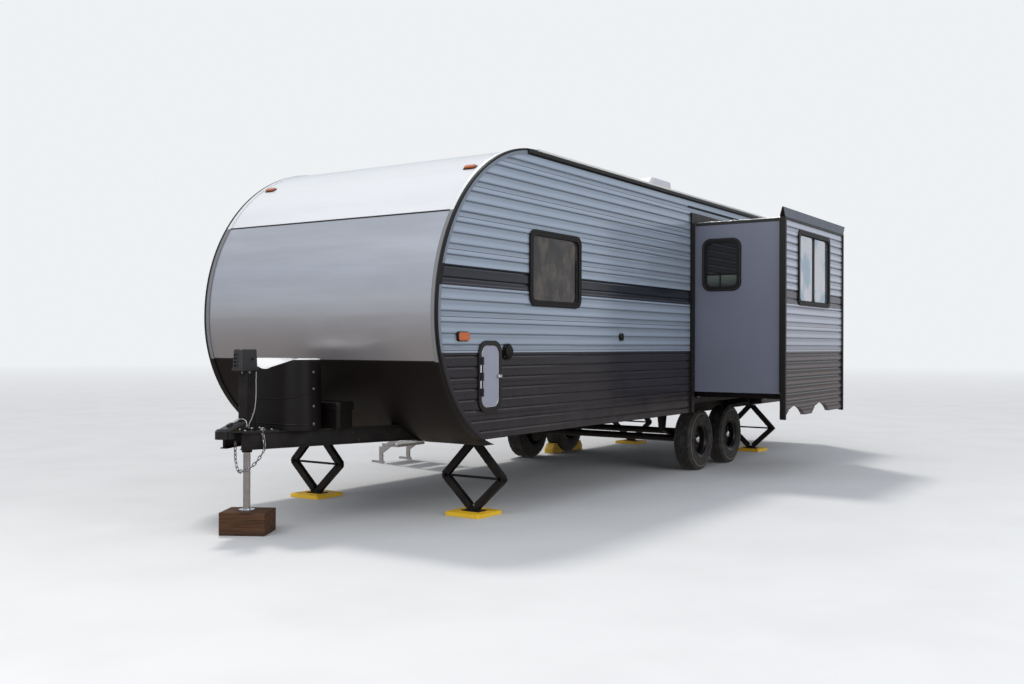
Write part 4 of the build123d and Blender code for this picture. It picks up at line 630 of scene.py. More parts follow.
def bead_section(width, height):
    """Half-round bead: across and out."""
    return [(width / 2 * math.cos(math.pi * i / 6), height * math.sin(math.pi * i / 6)) for i in range(7)]


def box_section(u_low, u_high, v_low, v_high):
    return [(u_low, v_low), (u_high, v_low), (u_high, v_high), (u_low, v_high)]


def wall_loop(x, z, y, width, height, radius):
    """Rounded rectangle on a side wall, with its outward direction."""
    side = 1 if y > 0 else -1
    return [(x - side * u, y, z + v) for u, v in rounded_loop(width, height, radius)], (0, side, 0)


def end_loop(y, z, x, width, height, radius):
    """Rounded rectangle on a wall that faces along the body."""
    return [(x, y + u, z + v) for u, v in rounded_loop(width, height, radius)]


def flat_loop(x, y, size, radius, z):
    """Rounded square on a level surface, with its outward direction."""
    return [(x + u, y + v, z) for u, v in rounded_loop(size, size, radius)], UP


def bead_loops(name, loops, width, height, material, body="trailer"):
    """Beads along (points, outward) loops as one piece."""
    section = bead_section(width, height)
    piece_from(name, [(sweep, points, section, out, True) for points, out in loops], material, body)


def nose_path(gap, step, low_angle):
    """Points round the nose from below to the roof, gap outside the panel, with their outward directions."""
    found = []
    for cz, radius, start, end in ((LOW_Z, LOW_R, low_angle, 0.0), (TOP_Z, TOP_R, 0.0, 90.0)):
        count = int(math.radians(end - start) * radius / step)
        for i in range(count + 1):
            out = polar(1, math.radians(start + (end - start) * i / count))
            found.append((Vector((bulge_x - radius, 0, cz)) + out * (radius + gap), out))
    return found


def nose_at(z):
    """The nose panel's surface point and outward direction at height z."""
    radius, cz = (LOW_R, LOW_Z) if z < LOW_Z else (TOP_R, TOP_Z)
    out = polar(1, math.asin(max(-1.0, min(1.0, (z - cz) / radius))))
    return Vector((bulge_x - radius, 0, cz)) + out * radius, out


def smooth_path(points, steps=8):
    """Curve through the points, each span cut into steps."""
    points = [Vector(p) for p in points]
    ends = [points[0] * 2 - points[1], *points, points[-1] * 2 - points[-2]]
    found = []
    for a, b, c, d in zip(ends, ends[1:], ends[2:], ends[3:]):
        for i in range(steps):
            t = i / steps
            found.append(0.5 * (2 * b + (c - a) * t + (2 * a - 5 * b + 4 * c - d) * t ** 2
                                + (3 * b - a - 3 * c + d) * t ** 3))
    return found + [points[-1]]


def spread(low, high, count):
    """count values evenly from low to high."""
    return [low + i * (high - low) / (count - 1) for i in range(count)]


# Tyres and wheels: widths and radii follow the CAD tyre's own
tyre_low, tyre_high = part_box("tyre_front_left")
tyre_r, tyre_half = (tyre_high.z - tyre_low.z) / 2, (tyre_high.y - tyre_low.y) / 2
TREAD_RIBS = ((0.079, 0.055), (0.046, 0.019), (0.011, -0.011), (-0.019, -0.046), (-0.055, -0.079))
SIDEWALL = (
    (0.180, -0.021), (0.186, -0.014), (0.194, -0.0115), (0.199, -0.0095), (0.205, -0.0095), (0.209, -0.0075),
    (0.228, -0.0040), (0.250, -0.0016), (0.268, -0.0022), (0.284, -0.0034), (0.287, -0.0018),
    (0.297, -0.0030), (0.300, -0.0050), (0.310, -0.0085), (0.320, -0.0140), (0.3285, -0.0205),
)
TREAD_IN, TREAD_DEPTH, SIPE_DEPTH, SIPE_EVERY, TYRE_STEPS, PAINTED_HIGHLIGHT_RING = 0.0006, 0.0085, 0.0045, 5, 130, 10
LUGS, LUG_CIRCLE, LUG_OUT = 6, 0.086, 0.013
CAP_PROFILE = ((0.034, 0.046), (0.036, 0.052), (0.032, 0.060), (0.018, 0.065), (0.004, 0.066))
VALVE_PROFILE = ((0.004, 0), (0.004, 0.022), (0.005, 0.022), (0.005, 0.032))


def tyre_profile():
    """(radius, offset, phase) across the tyre; phase is -1 off the tread, else the rib's sipe phase."""
    crown = tyre_r - TREAD_IN
    rows = [(r, tyre_half + w, -1) for r, w in SIDEWALL]
    for rib, (outer, inner) in enumerate(TREAD_RIBS):
        rows += [(crown, outer, rib), (crown, (outer + inner) / 2, rib), (crown, inner, rib)]
        if rib < len(TREAD_RIBS) - 1:
            following = TREAD_RIBS[rib + 1][0]
            gap = (inner - following) * 0.25
            rows += [(crown - TREAD_DEPTH, inner - gap, -1), (crown - TREAD_DEPTH, following + gap, -1)]
    return rows + [(r, -tyre_half - w, -1) for r, w in reversed(SIDEWALL)]


def centre_and_side(node):
    low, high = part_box(node)
    centre = (low + high) / 2
    return centre, 1 if centre.y > 0 else -1


def build_tyre(node):
    centre, side = centre_and_side(node)
    bm, rings, rows = bmesh.new(), [], tyre_profile()
    for step in range(TYRE_STEPS):
        a = 2 * math.pi * step / TYRE_STEPS
        ring = []
        for radius, offset, phase in rows:
            cut = SIPE_DEPTH if phase >= 0 and (step + 2 * phase) % SIPE_EVERY == 0 else 0.0
            ring.append(bm.verts.new(centre + polar(radius - cut, a, side * offset)))
        rings.append(ring)
    join_rings(bm, rings, True)
    # The moulded sidewall rib takes a tan painted highlight
    for i, face in enumerate(bm.faces):
        face.material_index = int(i % len(rows) == PAINTED_HIGHLIGHT_RING)
    made = new_piece(f"{node}_tread", bm, "tyre_rubber", "wheel_" + node.replace("tyre_", ""), 28)
    made.data.materials.append(finishes["rib_painted_highlight"])
    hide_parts(node)


def build_wheel_fittings(node):
    """Lug nuts, a domed centre cap and a valve on the wheel's outer face."""
    centre, side = centre_and_side(node)
    out = (0, side, 0)
    parts = []
    for i in range(LUGS):
        at = centre + polar(LUG_CIRCLE, math.radians(60 * i + 15), side * LUG_OUT)
        parts.append((hex_bolt, at, out, 0.011, 0.016))
    parts.append((lathe, centre, out, CAP_PROFILE, 28))
    parts.append((lathe, centre + Vector((0.150, side * 0.001, 0)), out, VALVE_PROFILE, 10))
    piece_from(f"{node}_nuts", parts, "chrome", "wheel_" + node.replace("rim_", ""))


# Nose: seam beads, and a thin line with small screws along each corner moulding
STRIP_IN, STRIP_HALF, STRIP_RISE, SCREW_IN = 0.012, 0.0012, 0.004, 0.006


def build_nose_seams():
    strips = []
    for z in (seam_low_z, seam_top_z):
        at, out = nose_at(z)
        ends = [at + Vector((0, y, 0)) for y in (0.001 - inside_y, inside_y - 0.001)]
        strips.append((sweep, ends, bead_section(0.016, 0.003), out))
    piece_from("nose_seams", strips, "dark_trim")


def build_nose_edges():
    beads, heads = [], []
    section = box_section(-STRIP_HALF, STRIP_HALF, -STRIP_RISE, STRIP_RISE)
    for side in SIDES:
        line_y, screw_y = (Vector((0, side * (half_width - inset), 0)) for inset in (STRIP_IN, SCREW_IN))
        line = [at + line_y for at, _ in nose_path(TRIM_OUT, 0.045, -52.0)]
        beads.append((sweep, line, section, LEFT))
        heads += [(screw, at + screw_y, out, 0.003) for at, out in nose_path(TRIM_OUT, 0.14, -50.0)]
    piece_from("nose_edge_beads", beads, "seal_rubber")
    piece_from("nose_edge_screws", heads, "dark_trim")


# Windows: gaskets, beads, sliding sashes; each inset is a loop's shortfall from the frame's full size
FRAME_FACE, FRAME_CUT, GLASS_IN, WEEP_SIZE = 0.014, 0.094, 0.0075, (0.028, 0.003, 0.006)
GASKET_INSET, BEAD_INSET, FRONT_BEAD_INSET = 0.090, 0.028, 0.026
GASKET_CORNER, BEAD_CORNER, SASH_CORNER, SASH_APART = 0.052, 0.068, 0.040, 0.016


def window_of(node, side):
    """(x, z, width, height) of the node's windows on one side wall, by grouping its vertices along x."""
    vertices = [v.co for v in nodes[node].data.vertices if v.co.y * side > 0]
    xs = sorted({round(v.x, 3) for v in vertices})
    groups, start = [], xs[0]
    for a, b in zip(xs, xs[1:]):
        if b - a > 1.2:
            groups.append((start, a))
            start = b
    groups.append((start, xs[-1]))
    found = []
    for low, high in groups:
        zs = [v.z for v in vertices if low - 0.001 <= v.x <= high + 0.001]
        found.append(((low + high) / 2, (min(zs) + max(zs)) / 2, high - low, max(zs) - min(zs)))
    return found


def build_body_windows():
    gaskets, beads, slots = [], [], []
    for side in SIDES:
        glass_y, face_y = side * (half_width - GLASS_IN), side * (half_width + FRAME_FACE - 0.0005)
        for x, z, width, height in window_of("window_frames", side):
            inner_w, inner_h = width - GASKET_INSET, height - GASKET_INSET
            gaskets.append(wall_loop(x, z, glass_y, inner_w, inner_h, GASKET_CORNER))
            beads.append(wall_loop(x, z, face_y, width - BEAD_INSET, height - BEAD_INSET, BEAD_CORNER))
            slots += [(block, (x + s * width * 0.3, face_y, z - height / 2 + 0.020), WEEP_SIZE, 0.0008)
                      for s in SIDES]
    bead_loops("window_gaskets", gaskets, 0.012, 0.006, "seal_rubber")
    bead_loops("window_beads", beads, 0.006, 0.0025, "dark_trim")
    piece_from("window_weep_covers", slots, "black_plastic")


def proud_box(axis, limit):
    """Middle and size of the slide window frame that stands beyond limit on an axis, 0 for x and 1 for y."""
    found = [v.co for v in nodes["slide_window_frames"].data.vertices if v.co[axis] > limit + 0.001]
    low, high = (Vector([pick(v[i] for v in found) for i in range(3)]) for pick in (min, max))
    return (low + high) / 2, high - low


def build_slide_windows():
    """Inner sashes and bead of the slide's face window, and the bars and beads of its side window."""
    at, size = proud_box(1, slide_face_y)
    pane_w, pane_h = (size.x - FRAME_CUT) / 2 - 0.020, size.z - FRAME_CUT - 0.006
    sash_y, bead_y = slide_face_y - 0.006, slide_face_y + FRAME_FACE - 0.0022
    sashes = [wall_loop(at.x + s * (pane_w / 2 + SASH_APART), at.z, sash_y, pane_w, pane_h, SASH_CORNER)
              for s in SIDES]
    bead_loops("slide_window_sashes", sashes, 0.012, 0.006, "seal_rubber", "slide_room")
    rim = wall_loop(at.x, at.z, bead_y, size.x - BEAD_INSET, size.z - BEAD_INSET, BEAD_CORNER)
    bead_loops("slide_window_bead", [rim], 0.006, 0.0022, "dark_trim", "slide_room")
    at, size = proud_box(0, slide_front_x)
    bar_x, bar_z, low_edge = slide_front_x - 0.006, at.z - size.z * 0.18, at.z - (size.z - FRAME_CUT) / 2
    piece_from("slide_side_window_bars", [
        (block, (bar_x, at.y, bar_z), (0.010, size.y - FRAME_CUT, 0.018)),
        (block, (bar_x, at.y - 0.02, (bar_z + low_edge) / 2), (0.008, 0.014, bar_z - low_edge)),
    ], "window_frame", "slide_room")
    beads = [(end_loop(at.y, at.z, slide_front_x + out, size.y - inset, size.z - inset, radius), FORWARD)
             for inset, radius, out in ((GASKET_INSET, 0.066, -0.009),
                                        (FRONT_BEAD_INSET, 0.084, FRAME_FACE - 0.0005))]
    bead_loops("slide_side_window_beads", beads, 0.010, 0.004, "seal_rubber", "slide_room")


# Slide: weather bands on its end walls, end plates on the fascia and corner mouldings, and screws
BAND_LOW, BAND_HIGH, BAND_T, BAND_FROM, BAND_TO, BEAD_Z = 2.665, 2.697, 0.002, 0.021, 0.004, 2.700
WIPER_FOOT, WIPER_SIZE, PLATE_T, FASCIA_LIP = 0.90, (0.003, 0.014), 0.002, 0.013
TRIM_SCREW, SCREW_SINK = 0.0032, 0.0018


def end_plate(bm, outline, out, foot_x, top_x):
    """Thin plate over a sloped end: the outline of (y, z) leans from foot_x at its foot to top_x."""
    foot_z, top_z = min(z for _, z in outline), max(z for _, z in outline)
    lean = (top_x - foot_x) / (top_z - foot_z)
    join_rings(bm, [[bm.verts.new((foot_x + lean * (z - foot_z) + out * gap, y, z)) for y, z in outline]
                    for gap in (0.0, PLATE_T)])


def build_slide_trim():
    bands, beads = [], []
    low_y, high_y, profile = half_width + BAND_FROM, slide_shell_y - BAND_TO, bead_section(0.009, 0.003)
    for x, s in ((slide_front_x, 1), (slide_rear_x, -1)):
        bands.append((block, (x + s * BAND_T / 2, (low_y + high_y) / 2, (BAND_LOW + BAND_HIGH) / 2),
                      (BAND_T, high_y - low_y, BAND_HIGH - BAND_LOW), 0.0005))
        beads.append((sweep, [(x, low_y, BEAD_Z), (x, high_y, BEAD_Z)], profile, (s, 0, 0)))
        bands.append((block, (x + s * WIPER_SIZE[0] / 2, high_y - 0.008, (WIPER_FOOT + BAND_LOW) / 2),
                      (*WIPER_SIZE, BAND_LOW - WIPER_FOOT), 0.0006))
    piece_from("slide_wall_bands", bands, "seal_rubber", "slide_room")
    piece_from("slide_wall_beads", beads, "pale_bead", "slide_room")
    fascia_low, fascia_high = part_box("slide_fascia")
    trim_low, trim_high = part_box("slide_edge_trims")
    strips, heads = [], []
    wedge = ((slide_shell_y, fascia_low.z), (fascia_high.y, fascia_low.z), (fascia_high.y, fascia_high.z),
             (fascia_high.y - FASCIA_LIP, fascia_high.z), (slide_shell_y, slide_top_z + 0.015))
    for s, foot_x, top_x in ((1, trim_high.x - 0.008, fascia_high.x), (-1, trim_low.x + 0.008, fascia_low.x)):
        strips.append((end_plate, wedge, s, foot_x, top_x))
        strips.append((block, (foot_x + s * 0.0015, slide_shell_y + 0.0065, (trim_low.z + fascia_low.z) / 2),
                       (0.003, 0.012, fascia_low.z - trim_low.z - 0.002), 0.0005))
    piece_from("slide_end_plates", strips, "dark_trim", "slide_room")
    z = trim_low.z + 0.06
    while z < fascia_low.z - 0.05:
        heads += [(screw, (x, trim_high.y - SCREW_SINK, z), LEFT, TRIM_SCREW)
                  for x in (trim_high.x - 0.023, trim_low.x + 0.023)]
        z += 0.30
    heads += [(screw, (x, fascia_high.y - SCREW_SINK, fascia_high.z - 0.012), LEFT, TRIM_SCREW)
              for x in spread(trim_low.x + 0.1, trim_high.x - 0.1, 9)]
    piece_from("slide_trim_screws", heads, "screw_steel", "slide_room")


# Body: drip rail over the slide's opening, opening trim screws, gutter ends and lamp bezels
RAIL_FROM, RAIL_TO, DRIP_Z, GUTTER_Z = -0.43, 0.15, 2.866, 2.9515
SIDE_LAMP_X, SIDE_LAMP_Z, SIDE_LAMP_OUT = nose_x - 0.272, 1.441, 0.0235
NOSE_LAMP_ANGLE, NOSE_LAMP_Y = math.radians(56.0), half_width - 0.145
SIDE_LAMP_RIM, NOSE_LAMP_RIM, LAMP_SCREW_OUT = (0.134, 0.064, 0.018), (0.112, 0.046, 0.018), 0.052


def build_drip_rail():
    lip = [(-0.006, 0), (0.006, 0), (0.004, 0.010), (-0.006, 0.013)]
    path = [(x, half_width - 0.001, DRIP_Z) for x in (RAIL_FROM, slide_rear_x - RAIL_TO)]
    piece_from("drip_rail", [(sweep, path, lip, LEFT)], "dark_trim")


def build_opening_screws():
    low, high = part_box("opening_trim")
    spots = [(x, high.y, z) for z in spread(low.z + 0.10, high.z - 0.15, 7)
             for x in (high.x - 0.04, low.x + 0.04)]
    spots += [(x, high.y, high.z - 0.03) for x in spread(low.x + 0.15, high.x - 0.15, 8)]
    piece_from("opening_trim_screws", [(screw, spot, LEFT, 0.0036) for spot in spots], "screw_steel")


def build_gutter_ends():
    piece_from("gutter_ends", [(block, (x, side * (half_width + 0.0105), GUTTER_Z), (0.008, 0.020, 0.045))
                               for side in SIDES for x in (nose_x - TRIM_REACH, rear_x + 0.004)], "dark_trim")


def build_lamp_bezels():
    loops, rims, heads = [], [], []
    for side in SIDES:
        rims.append(wall_loop(SIDE_LAMP_X, SIDE_LAMP_Z, side * (half_width - 0.001), *SIDE_LAMP_RIM))
        out = polar(1, NOSE_LAMP_ANGLE)
        up = Vector((-out.z, 0, out.x))
        at = Vector((bulge_x - TOP_R, side * NOSE_LAMP_Y, TOP_Z)) + out * (TOP_R - 0.001)
        loops.append(([at + Vector((0, u, 0)) + up * v for u, v in rounded_loop(*NOSE_LAMP_RIM)], out))
        lamp_y = side * (half_width + SIDE_LAMP_OUT)
        heads += [(screw, (SIDE_LAMP_X + s * LAMP_SCREW_OUT, lamp_y, SIDE_LAMP_Z), (0, side, 0), 0.004)
                  for s in SIDES]
    bead_loops("lamp_bezels", loops, 0.014, 0.008, "black_plastic")
    bead_loops("side_lamp_rims", rims, 0.010, 0.022, "black_plastic")
    piece_from("lamp_screws", heads, "screw_steel")


# Power inlet cap with grip ribs and screws, and the hood of the small side box
INLET_AT = Vector((nose_x - 0.861, half_width + 0.030, 1.325))
INLET_CAP = ((0.050, -0.012), (0.052, -0.009), (0.052, -0.004), (0.046, 0.003), (0.030, 0.006),
             (0.010, 0.007))
INLET_SCREWS, GRIP_R, GRIPS = 0.056, 0.0515, 16
SIDE_BOX_AT = Vector((nose_x - 2.779, half_width + 0.016, 1.456))
SIDE_BOX_CAP, HOOD_R = ((0.026, -0.002), (0.026, 0.004), (0.020, 0.008), (0.006, 0.009)), 0.028


def build_side_fittings():
    caps = [(lathe, INLET_AT, LEFT, INLET_CAP, 32)]
    for i in range(GRIPS):
        a = 2 * math.pi * i / GRIPS
        caps.append((block, INLET_AT + polar(GRIP_R, a, -0.007), (0.007, 0.008, 0.007), 0.0015,
                     Matrix.Rotation(-a, 4, "Y")))
    hood = [SIDE_BOX_AT + polar(HOOD_R, math.pi * i / 12) - Vector((0, 0, 0.002)) for i in range(13)]
    caps += [(pipe, hood, 0.006, 8), (lathe, SIDE_BOX_AT, LEFT, SIDE_BOX_CAP, 24)]
    piece_from("side_caps", caps, "black_plastic")
    heads = [(screw, INLET_AT + polar(INLET_SCREWS, math.radians(45 + 90 * i), -0.014), LEFT, 0.0035)
             for i in range(4)]
    heads += [(screw, SIDE_BOX_AT + Vector((s * 0.027, 0, t * 0.027)), LEFT, 0.003)
              for s in SIDES for t in SIDES]
    piece_from("side_fitting_screws", heads, "screw_steel")


# Storage hatches: a seal in each gap, ring screws and a key barrel
HATCH_X, BARREL_IN = nose_x - 0.627, 0.098
HATCH_SEAL, HATCH_RING, HATCH_RIM = (0.246, 0.490, 0.082), (0.288, 0.532, 0.092), (0.222, 0.466, 0.066)
BARREL = ((0.009, -0.001), (0.009, 0.002), (0.007, 0.003), (0.003, 0.001))


def build_hatch_details():
    seals, heads = [], []
    low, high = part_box("storage_frames")
    z = (low.z + high.z) / 2
    for side, body in ((1, "hatch_left"), (-1, "hatch_right")):
        out = (0, side, 0)
        seals.append(wall_loop(HATCH_X, z, side * (half_width + 0.0115), *HATCH_SEAL))
        heads += [(screw, (HATCH_X - side * u, side * (half_width + 0.012), z + v), out, 0.003)
                  for u, v in rounded_loop(*HATCH_RING, 2) if abs(v) > 0.16 or u * side > 0]
        barrel = [(lathe, (HATCH_X - BARREL_IN, side * (half_width + 0.024), z), out, BARREL, 20)]
        piece_from(f"{body}_lock", barrel, "chrome", body)
        rim = wall_loop(HATCH_X, z, side * (half_width + 0.0075), *HATCH_RIM)
        bead_loops(f"{body}_rim", [rim], 0.006, 0.002, "pale_bead", body)
    bead_loops("hatch_seals", seals, 0.006, 0.002, "seal_rubber")
    piece_from("hatch_frame_screws", heads, "black_plastic")


# Entry door: window gasket, lever, lock barrels and a kick strip
DOOR_OUT, HANDLE_IN, HANDLE_Z, GASKET_REACH, DOOR_CORNER = 0.004, 0.060, 1.640, 0.016, 0.058
BOLT_CAP, KEY_CAP = ((0.013, 0), (0.013, 0.004), (0.008, 0.006)), ((0.011, 0), (0.011, 0.004), (0.004, 0.005))


def build_door_details():
    low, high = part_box("entry_glass")
    at, size, face_y = (low + high) / 2, high - low, -(half_width + DOOR_OUT)
    loop = wall_loop(at.x, at.z, face_y, size.x + GASKET_REACH, size.z + GASKET_REACH, DOOR_CORNER)
    bead_loops("door_window_gasket", [loop], 0.018, 0.007, "seal_rubber", "door")
    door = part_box("entry_door")[0]
    handle = Vector((door.x + HANDLE_IN, face_y - 0.014, HANDLE_Z))
    piece_from("door_lever", [
        (lathe, handle + Vector((0.012, 0, 0.030)), RIGHT, BOLT_CAP, 24),
        (lathe, handle + Vector((0, 0, -0.038)), RIGHT, KEY_CAP, 24),
        (block, handle + Vector((-0.002, -0.003, -0.004)), (0.052, 0.006, 0.026)),
    ], "chrome", "door")
    kick = [(block, (at.x, face_y - 0.0012, door.z + 0.045), (0.58, 0.0024, 0.075))]
    piece_from("door_kick_strip", kick, "step_alloy", "door")


# Gas cover: side bolts and a moulded line that dips at the middle of the front
COVER_X, COVER_HALF_X, COVER_HALF_Y, COVER_CORNER = nose_x + 0.348, 0.170, 0.345, 0.150
COVER_TAPER, COVER_FOOT = math.tan(math.radians(0.8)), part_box("gas_cover")[0].z
LINE_Z, LINE_DIP, COVER_BOLTS = 0.955, 0.06, (0.79, 0.92, 1.05, 1.173)


def build_cover_details():
    line = []
    cx, cy = COVER_X + COVER_HALF_X - COVER_CORNER, COVER_HALF_Y - COVER_CORNER
    for side, start in ((-1, -90), (1, 0)):
        for i in range(13):
            a = math.radians(start + 90 * i / 12)
            x, y = cx + COVER_CORNER * math.cos(a), side * cy + COVER_CORNER * math.sin(a)
            z = LINE_Z + LINE_DIP * (y / COVER_HALF_Y) ** 2
            inward = COVER_TAPER * (z - COVER_FOOT)
            line.append(Vector((x - math.cos(a) * inward, y - math.sin(a) * inward, z)))
    low_line = [(p.x, p.y, COVER_FOOT + 0.045) for p in line]
    piece_from("gas_cover_lines", [(pipe, line, 0.005, 8), (pipe, low_line, 0.007, 8)], "black_plastic")
    bolts = []
    for side in SIDES:
        for z in COVER_BOLTS:
            y = COVER_HALF_Y - COVER_TAPER * (z - COVER_FOOT)
            bolts.append((hex_bolt, (COVER_X, side * y, z), (0, side, 0), 0.008, 0.006))
    piece_from("gas_cover_bolts", bolts, "screw_steel")


# Tongue jack: head screws, side bolts, clipped wire and a switch
JACK_X, JACK_HALF, PLATE_Z = nose_x + 0.680, 0.046, 0.765
HEAD_BOLTS = ((JACK_HALF, 0.0, FORWARD), (0.019, JACK_HALF, LEFT), (-0.027, -JACK_HALF, RIGHT),
              (0.019, -JACK_HALF, RIGHT))
PLATE_BOLTS = ((-0.062, 0.066), (-0.062, -0.066), (0.014, 0.066), (0.014, -0.066))
WIRE = ((0.639, 1.178), (0.640, 1.10), (0.641, 0.99), (0.654, 0.90), (0.679, 0.84), (0.704, 0.80),
        (0.709, 0.765))
WIRE_R, CLIPS, CLIP_R = 0.0035, (1.12, 0.99, 0.86), 0.0016
SWITCH_CAP = ((0.011, 0), (0.011, 0.006), (0.008, 0.008))
HEAD_CAP = ((0.017, 0), (0.016, 0.002), (0.004, 0.0028))


def build_jack_details():
    tube_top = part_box("jack_tube")[1].z
    bolts = [(hex_bolt, (JACK_X + x, y, tube_top - 0.012), out, 0.007, 0.005) for x, y, out in HEAD_BOLTS]
    bolts += [(hex_bolt, (JACK_X + x, y, PLATE_Z), UP, 0.009, 0.008) for x, y in PLATE_BOLTS]
    piece_from("jack_bolts", bolts, "screw_steel")
    route = smooth_path([(nose_x + x, JACK_HALF + WIRE_R, z) for x, z in WIRE], 6)
    piece_from("jack_wire", [(pipe, route, WIRE_R, 10)], "wire_grey")
    clips = []
    for z in CLIPS:
        x = min(route, key=lambda p: abs(p.z - z)).x
        turns = [math.pi * i / 8 for i in range(9)]
        arch = [(x, JACK_HALF + WIRE_R + 0.0055 * math.sin(a), z + 0.0065 * math.cos(a)) for a in turns]
        clips.append((pipe, arch, CLIP_R, 6))
        clips.append((block, (x, JACK_HALF + 0.0008, z), (0.008, CLIP_R, 0.030), 0.0004))
    piece_from("jack_wire_clips", clips, "screw_steel")
    low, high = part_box("jack_head")
    middle, switch_z = (low.x + high.x) / 2, low.z + 0.085
    piece_from("jack_switch", [
        (lathe, (middle - 0.030, high.y - 0.0125, switch_z), LEFT, SWITCH_CAP, 20),
        (block, (middle - 0.030, high.y - 0.001, switch_z), (0.008, 0.008, 0.016)),
        (lathe, (middle + 0.045, 0, high.z - 0.002), UP, HEAD_CAP, 24),
    ], "black_plastic")


# Safety chains: link centres run from where the two hook together, up to their eyes on the tongue
CHAIN_STOPS = (
    ((0.757, 0.006, 0.458), (0.738, 0.070, 0.470), (0.706, 0.130, 0.530), (0.679, 0.180, 0.620),
     (0.676, 0.172, 0.700), (0.679, 0.155, 0.757)),
    ((0.757, 0.022, 0.450), (0.756, -0.012, 0.468), (0.751, -0.040, 0.540), (0.746, -0.050, 0.610),
     (0.743, -0.053, 0.662)),
)
LINK_PITCH, LINK_WIDTH, LINK_WIRE, HOOK_WIRE = 0.030, 0.024, 0.0035, 0.005
HOOK = ((0, -0.018), (0.004, 0.006), (-0.012, 0.016), (-0.030, 0.010), (-0.034, -0.008))


def chain_link(bm, centre, along, across):
    """One oval link about centre, lying in the plane of along and across."""
    bend = LINK_WIDTH / 2 - LINK_WIRE
    straight = (LINK_PITCH + 2 * LINK_WIRE) / 2 - bend
    points = []
    for end in SIDES:
        for i in range(7):
            a = math.pi * i / 6 - math.pi / 2
            ahead = along * end * (straight + bend * math.cos(a))
            points.append(centre + ahead + across * end * bend * math.sin(a))
    pipe(bm, points, LINK_WIRE, 8, True)


def chain_along(path):
    """Makers for links spaced evenly along path, each turned a quarter from the last."""
    spots, left = [], LINK_PITCH / 2
    for a, b in zip(path, path[1:]):
        length = (b - a).length
        while left <= length:
            spots.append((a.lerp(b, left / length), (b - a).normalized()))
            left += LINK_PITCH
        left -= length
    parts = []
    for i, (spot, along) in enumerate(spots):
        level = along.cross(Vector(UP if abs(along.z) < 0.9 else FORWARD)).normalized()
        parts.append((chain_link, spot, along, level if i % 2 else along.cross(level).normalized()))
    return parts


def build_chains():
    parts, hooks = [], []
    for stops in CHAIN_STOPS:
        path = smooth_path([(nose_x + x, y, z) for x, y, z in stops], 10)
        parts += chain_along(path)
        top = path[-1]
        if top.y < 0:
            hook = [top + Vector((0, 0, z)) for z in (-0.014, 0.0, 0.012)]
        else:
            hook = smooth_path([top + Vector((x, 0, z)) for x, z in HOOK], 5)
        hooks.append((pipe, hook, HOOK_WIRE, 8))
    piece_from("safety_chains", parts, "chain_steel")
    piece_from("chain_hooks", hooks, "chain_steel")


# Coupler: latch bar with its grip, bail and pivot, a knob and the tongue bolts
LATCH_FOOT, LATCH_TOP = Vector((nose_x + 0.867, 0, 0.792)), Vector((nose_x + 0.744, 0, 0.838))
BAIL_X, BAIL_Z, KNOB_AT = LATCH_TOP.x - 0.010, 0.785, (nose_x + 0.805, 0.058, 0.765)
TONGUE_BOLTS, TONGUE_BOLT_Z = ((0.600, 0.175), (0.660, 0.155), (0.790, 0.104)), 0.757


def build_coupler_details():
    along = LATCH_TOP - LATCH_FOOT
    slope = Matrix.Rotation(-math.atan2(along.z, along.x), 4, "Y")
    bar = [(block, (LATCH_FOOT + LATCH_TOP) / 2, (along.length, 0.026, 0.005), 0.0015, slope)]
    for side in SIDES:
        leg = [LATCH_TOP + Vector((0, side * 0.010, 0)), LATCH_TOP + Vector((-0.008, side * 0.045, -0.010)),
               (LATCH_TOP.x - 0.008, side * 0.056, 0.812), (BAIL_X, side * 0.0615, BAIL_Z)]
        bar.append((pipe, smooth_path(leg, 5), 0.0035, 8))
        bar.append((hex_bolt, (BAIL_X, side * 0.058, BAIL_Z), (0, side, 0), 0.008, 0.006))
    piece_from("coupler_latch", bar, "screw_steel")
    grip = [(block, LATCH_FOOT.lerp(LATCH_TOP, 0.2), (0.050, 0.032, 0.013), 0.004, slope)]
    piece_from("latch_grip", grip, "seal_rubber")
    knob = [(lathe, KNOB_AT, LEFT, ((0.007, 0), (0.007, 0.010), (0.004, 0.012)), 16)]
    piece_from("coupler_knob", knob, "brass")
    piece_from("coupler_bolts", [(hex_bolt, (nose_x + x, side * y, TONGUE_BOLT_Z), UP, 0.008, 0.007)
                                 for side in SIDES for x, y in TONGUE_BOLTS], "screw_steel")


# Scissor jacks: channel arms, pivot bolts and the drive nut at each screw's outer end
JACK_ROW_X = (nose_x - 0.930, rear_x + 1.470)
STAND_Y, ELBOW_Y, ELBOW_Z, APEX_Z, FOOT_Z, PIVOT_Y = half_width - 0.365, 0.290, 0.305, 0.572, 0.055, 0.034
ARM_FACE, ARM_WIDTH, ARM_WALL = 0.022, 0.058, 0.003
STANDS = [(x, side) for x in JACK_ROW_X for side in SIDES]


def channel(bm, start, end, turn):
    """Channel bar from start to end, its web on the side that turn, 1 or -1, gives."""
    w, d, wall = ARM_WIDTH / 2, ARM_FACE + 0.0015, ARM_WALL
    section = [(-w, -d), (w, -d), (w, -d + wall), (-w + wall, -d + wall), (-w + wall, d - wall),
               (w, d - wall), (w, d), (-w, d)]
    sweep(bm, [start, end], [(turn * u, v) for u, v in section], FORWARD)


def build_stand_arms():
    arms = []
    for x, side in STANDS:
        for s in SIDES:
            elbow = (x, side * STAND_Y + s * ELBOW_Y, ELBOW_Z)
            for z, turn in ((APEX_Z, s), (FOOT_Z + 0.012, -s)):
                arms.append((channel, (x, side * STAND_Y + s * PIVOT_Y, z), elbow, turn))
    piece_from("stand_arms", arms, "chassis_black")


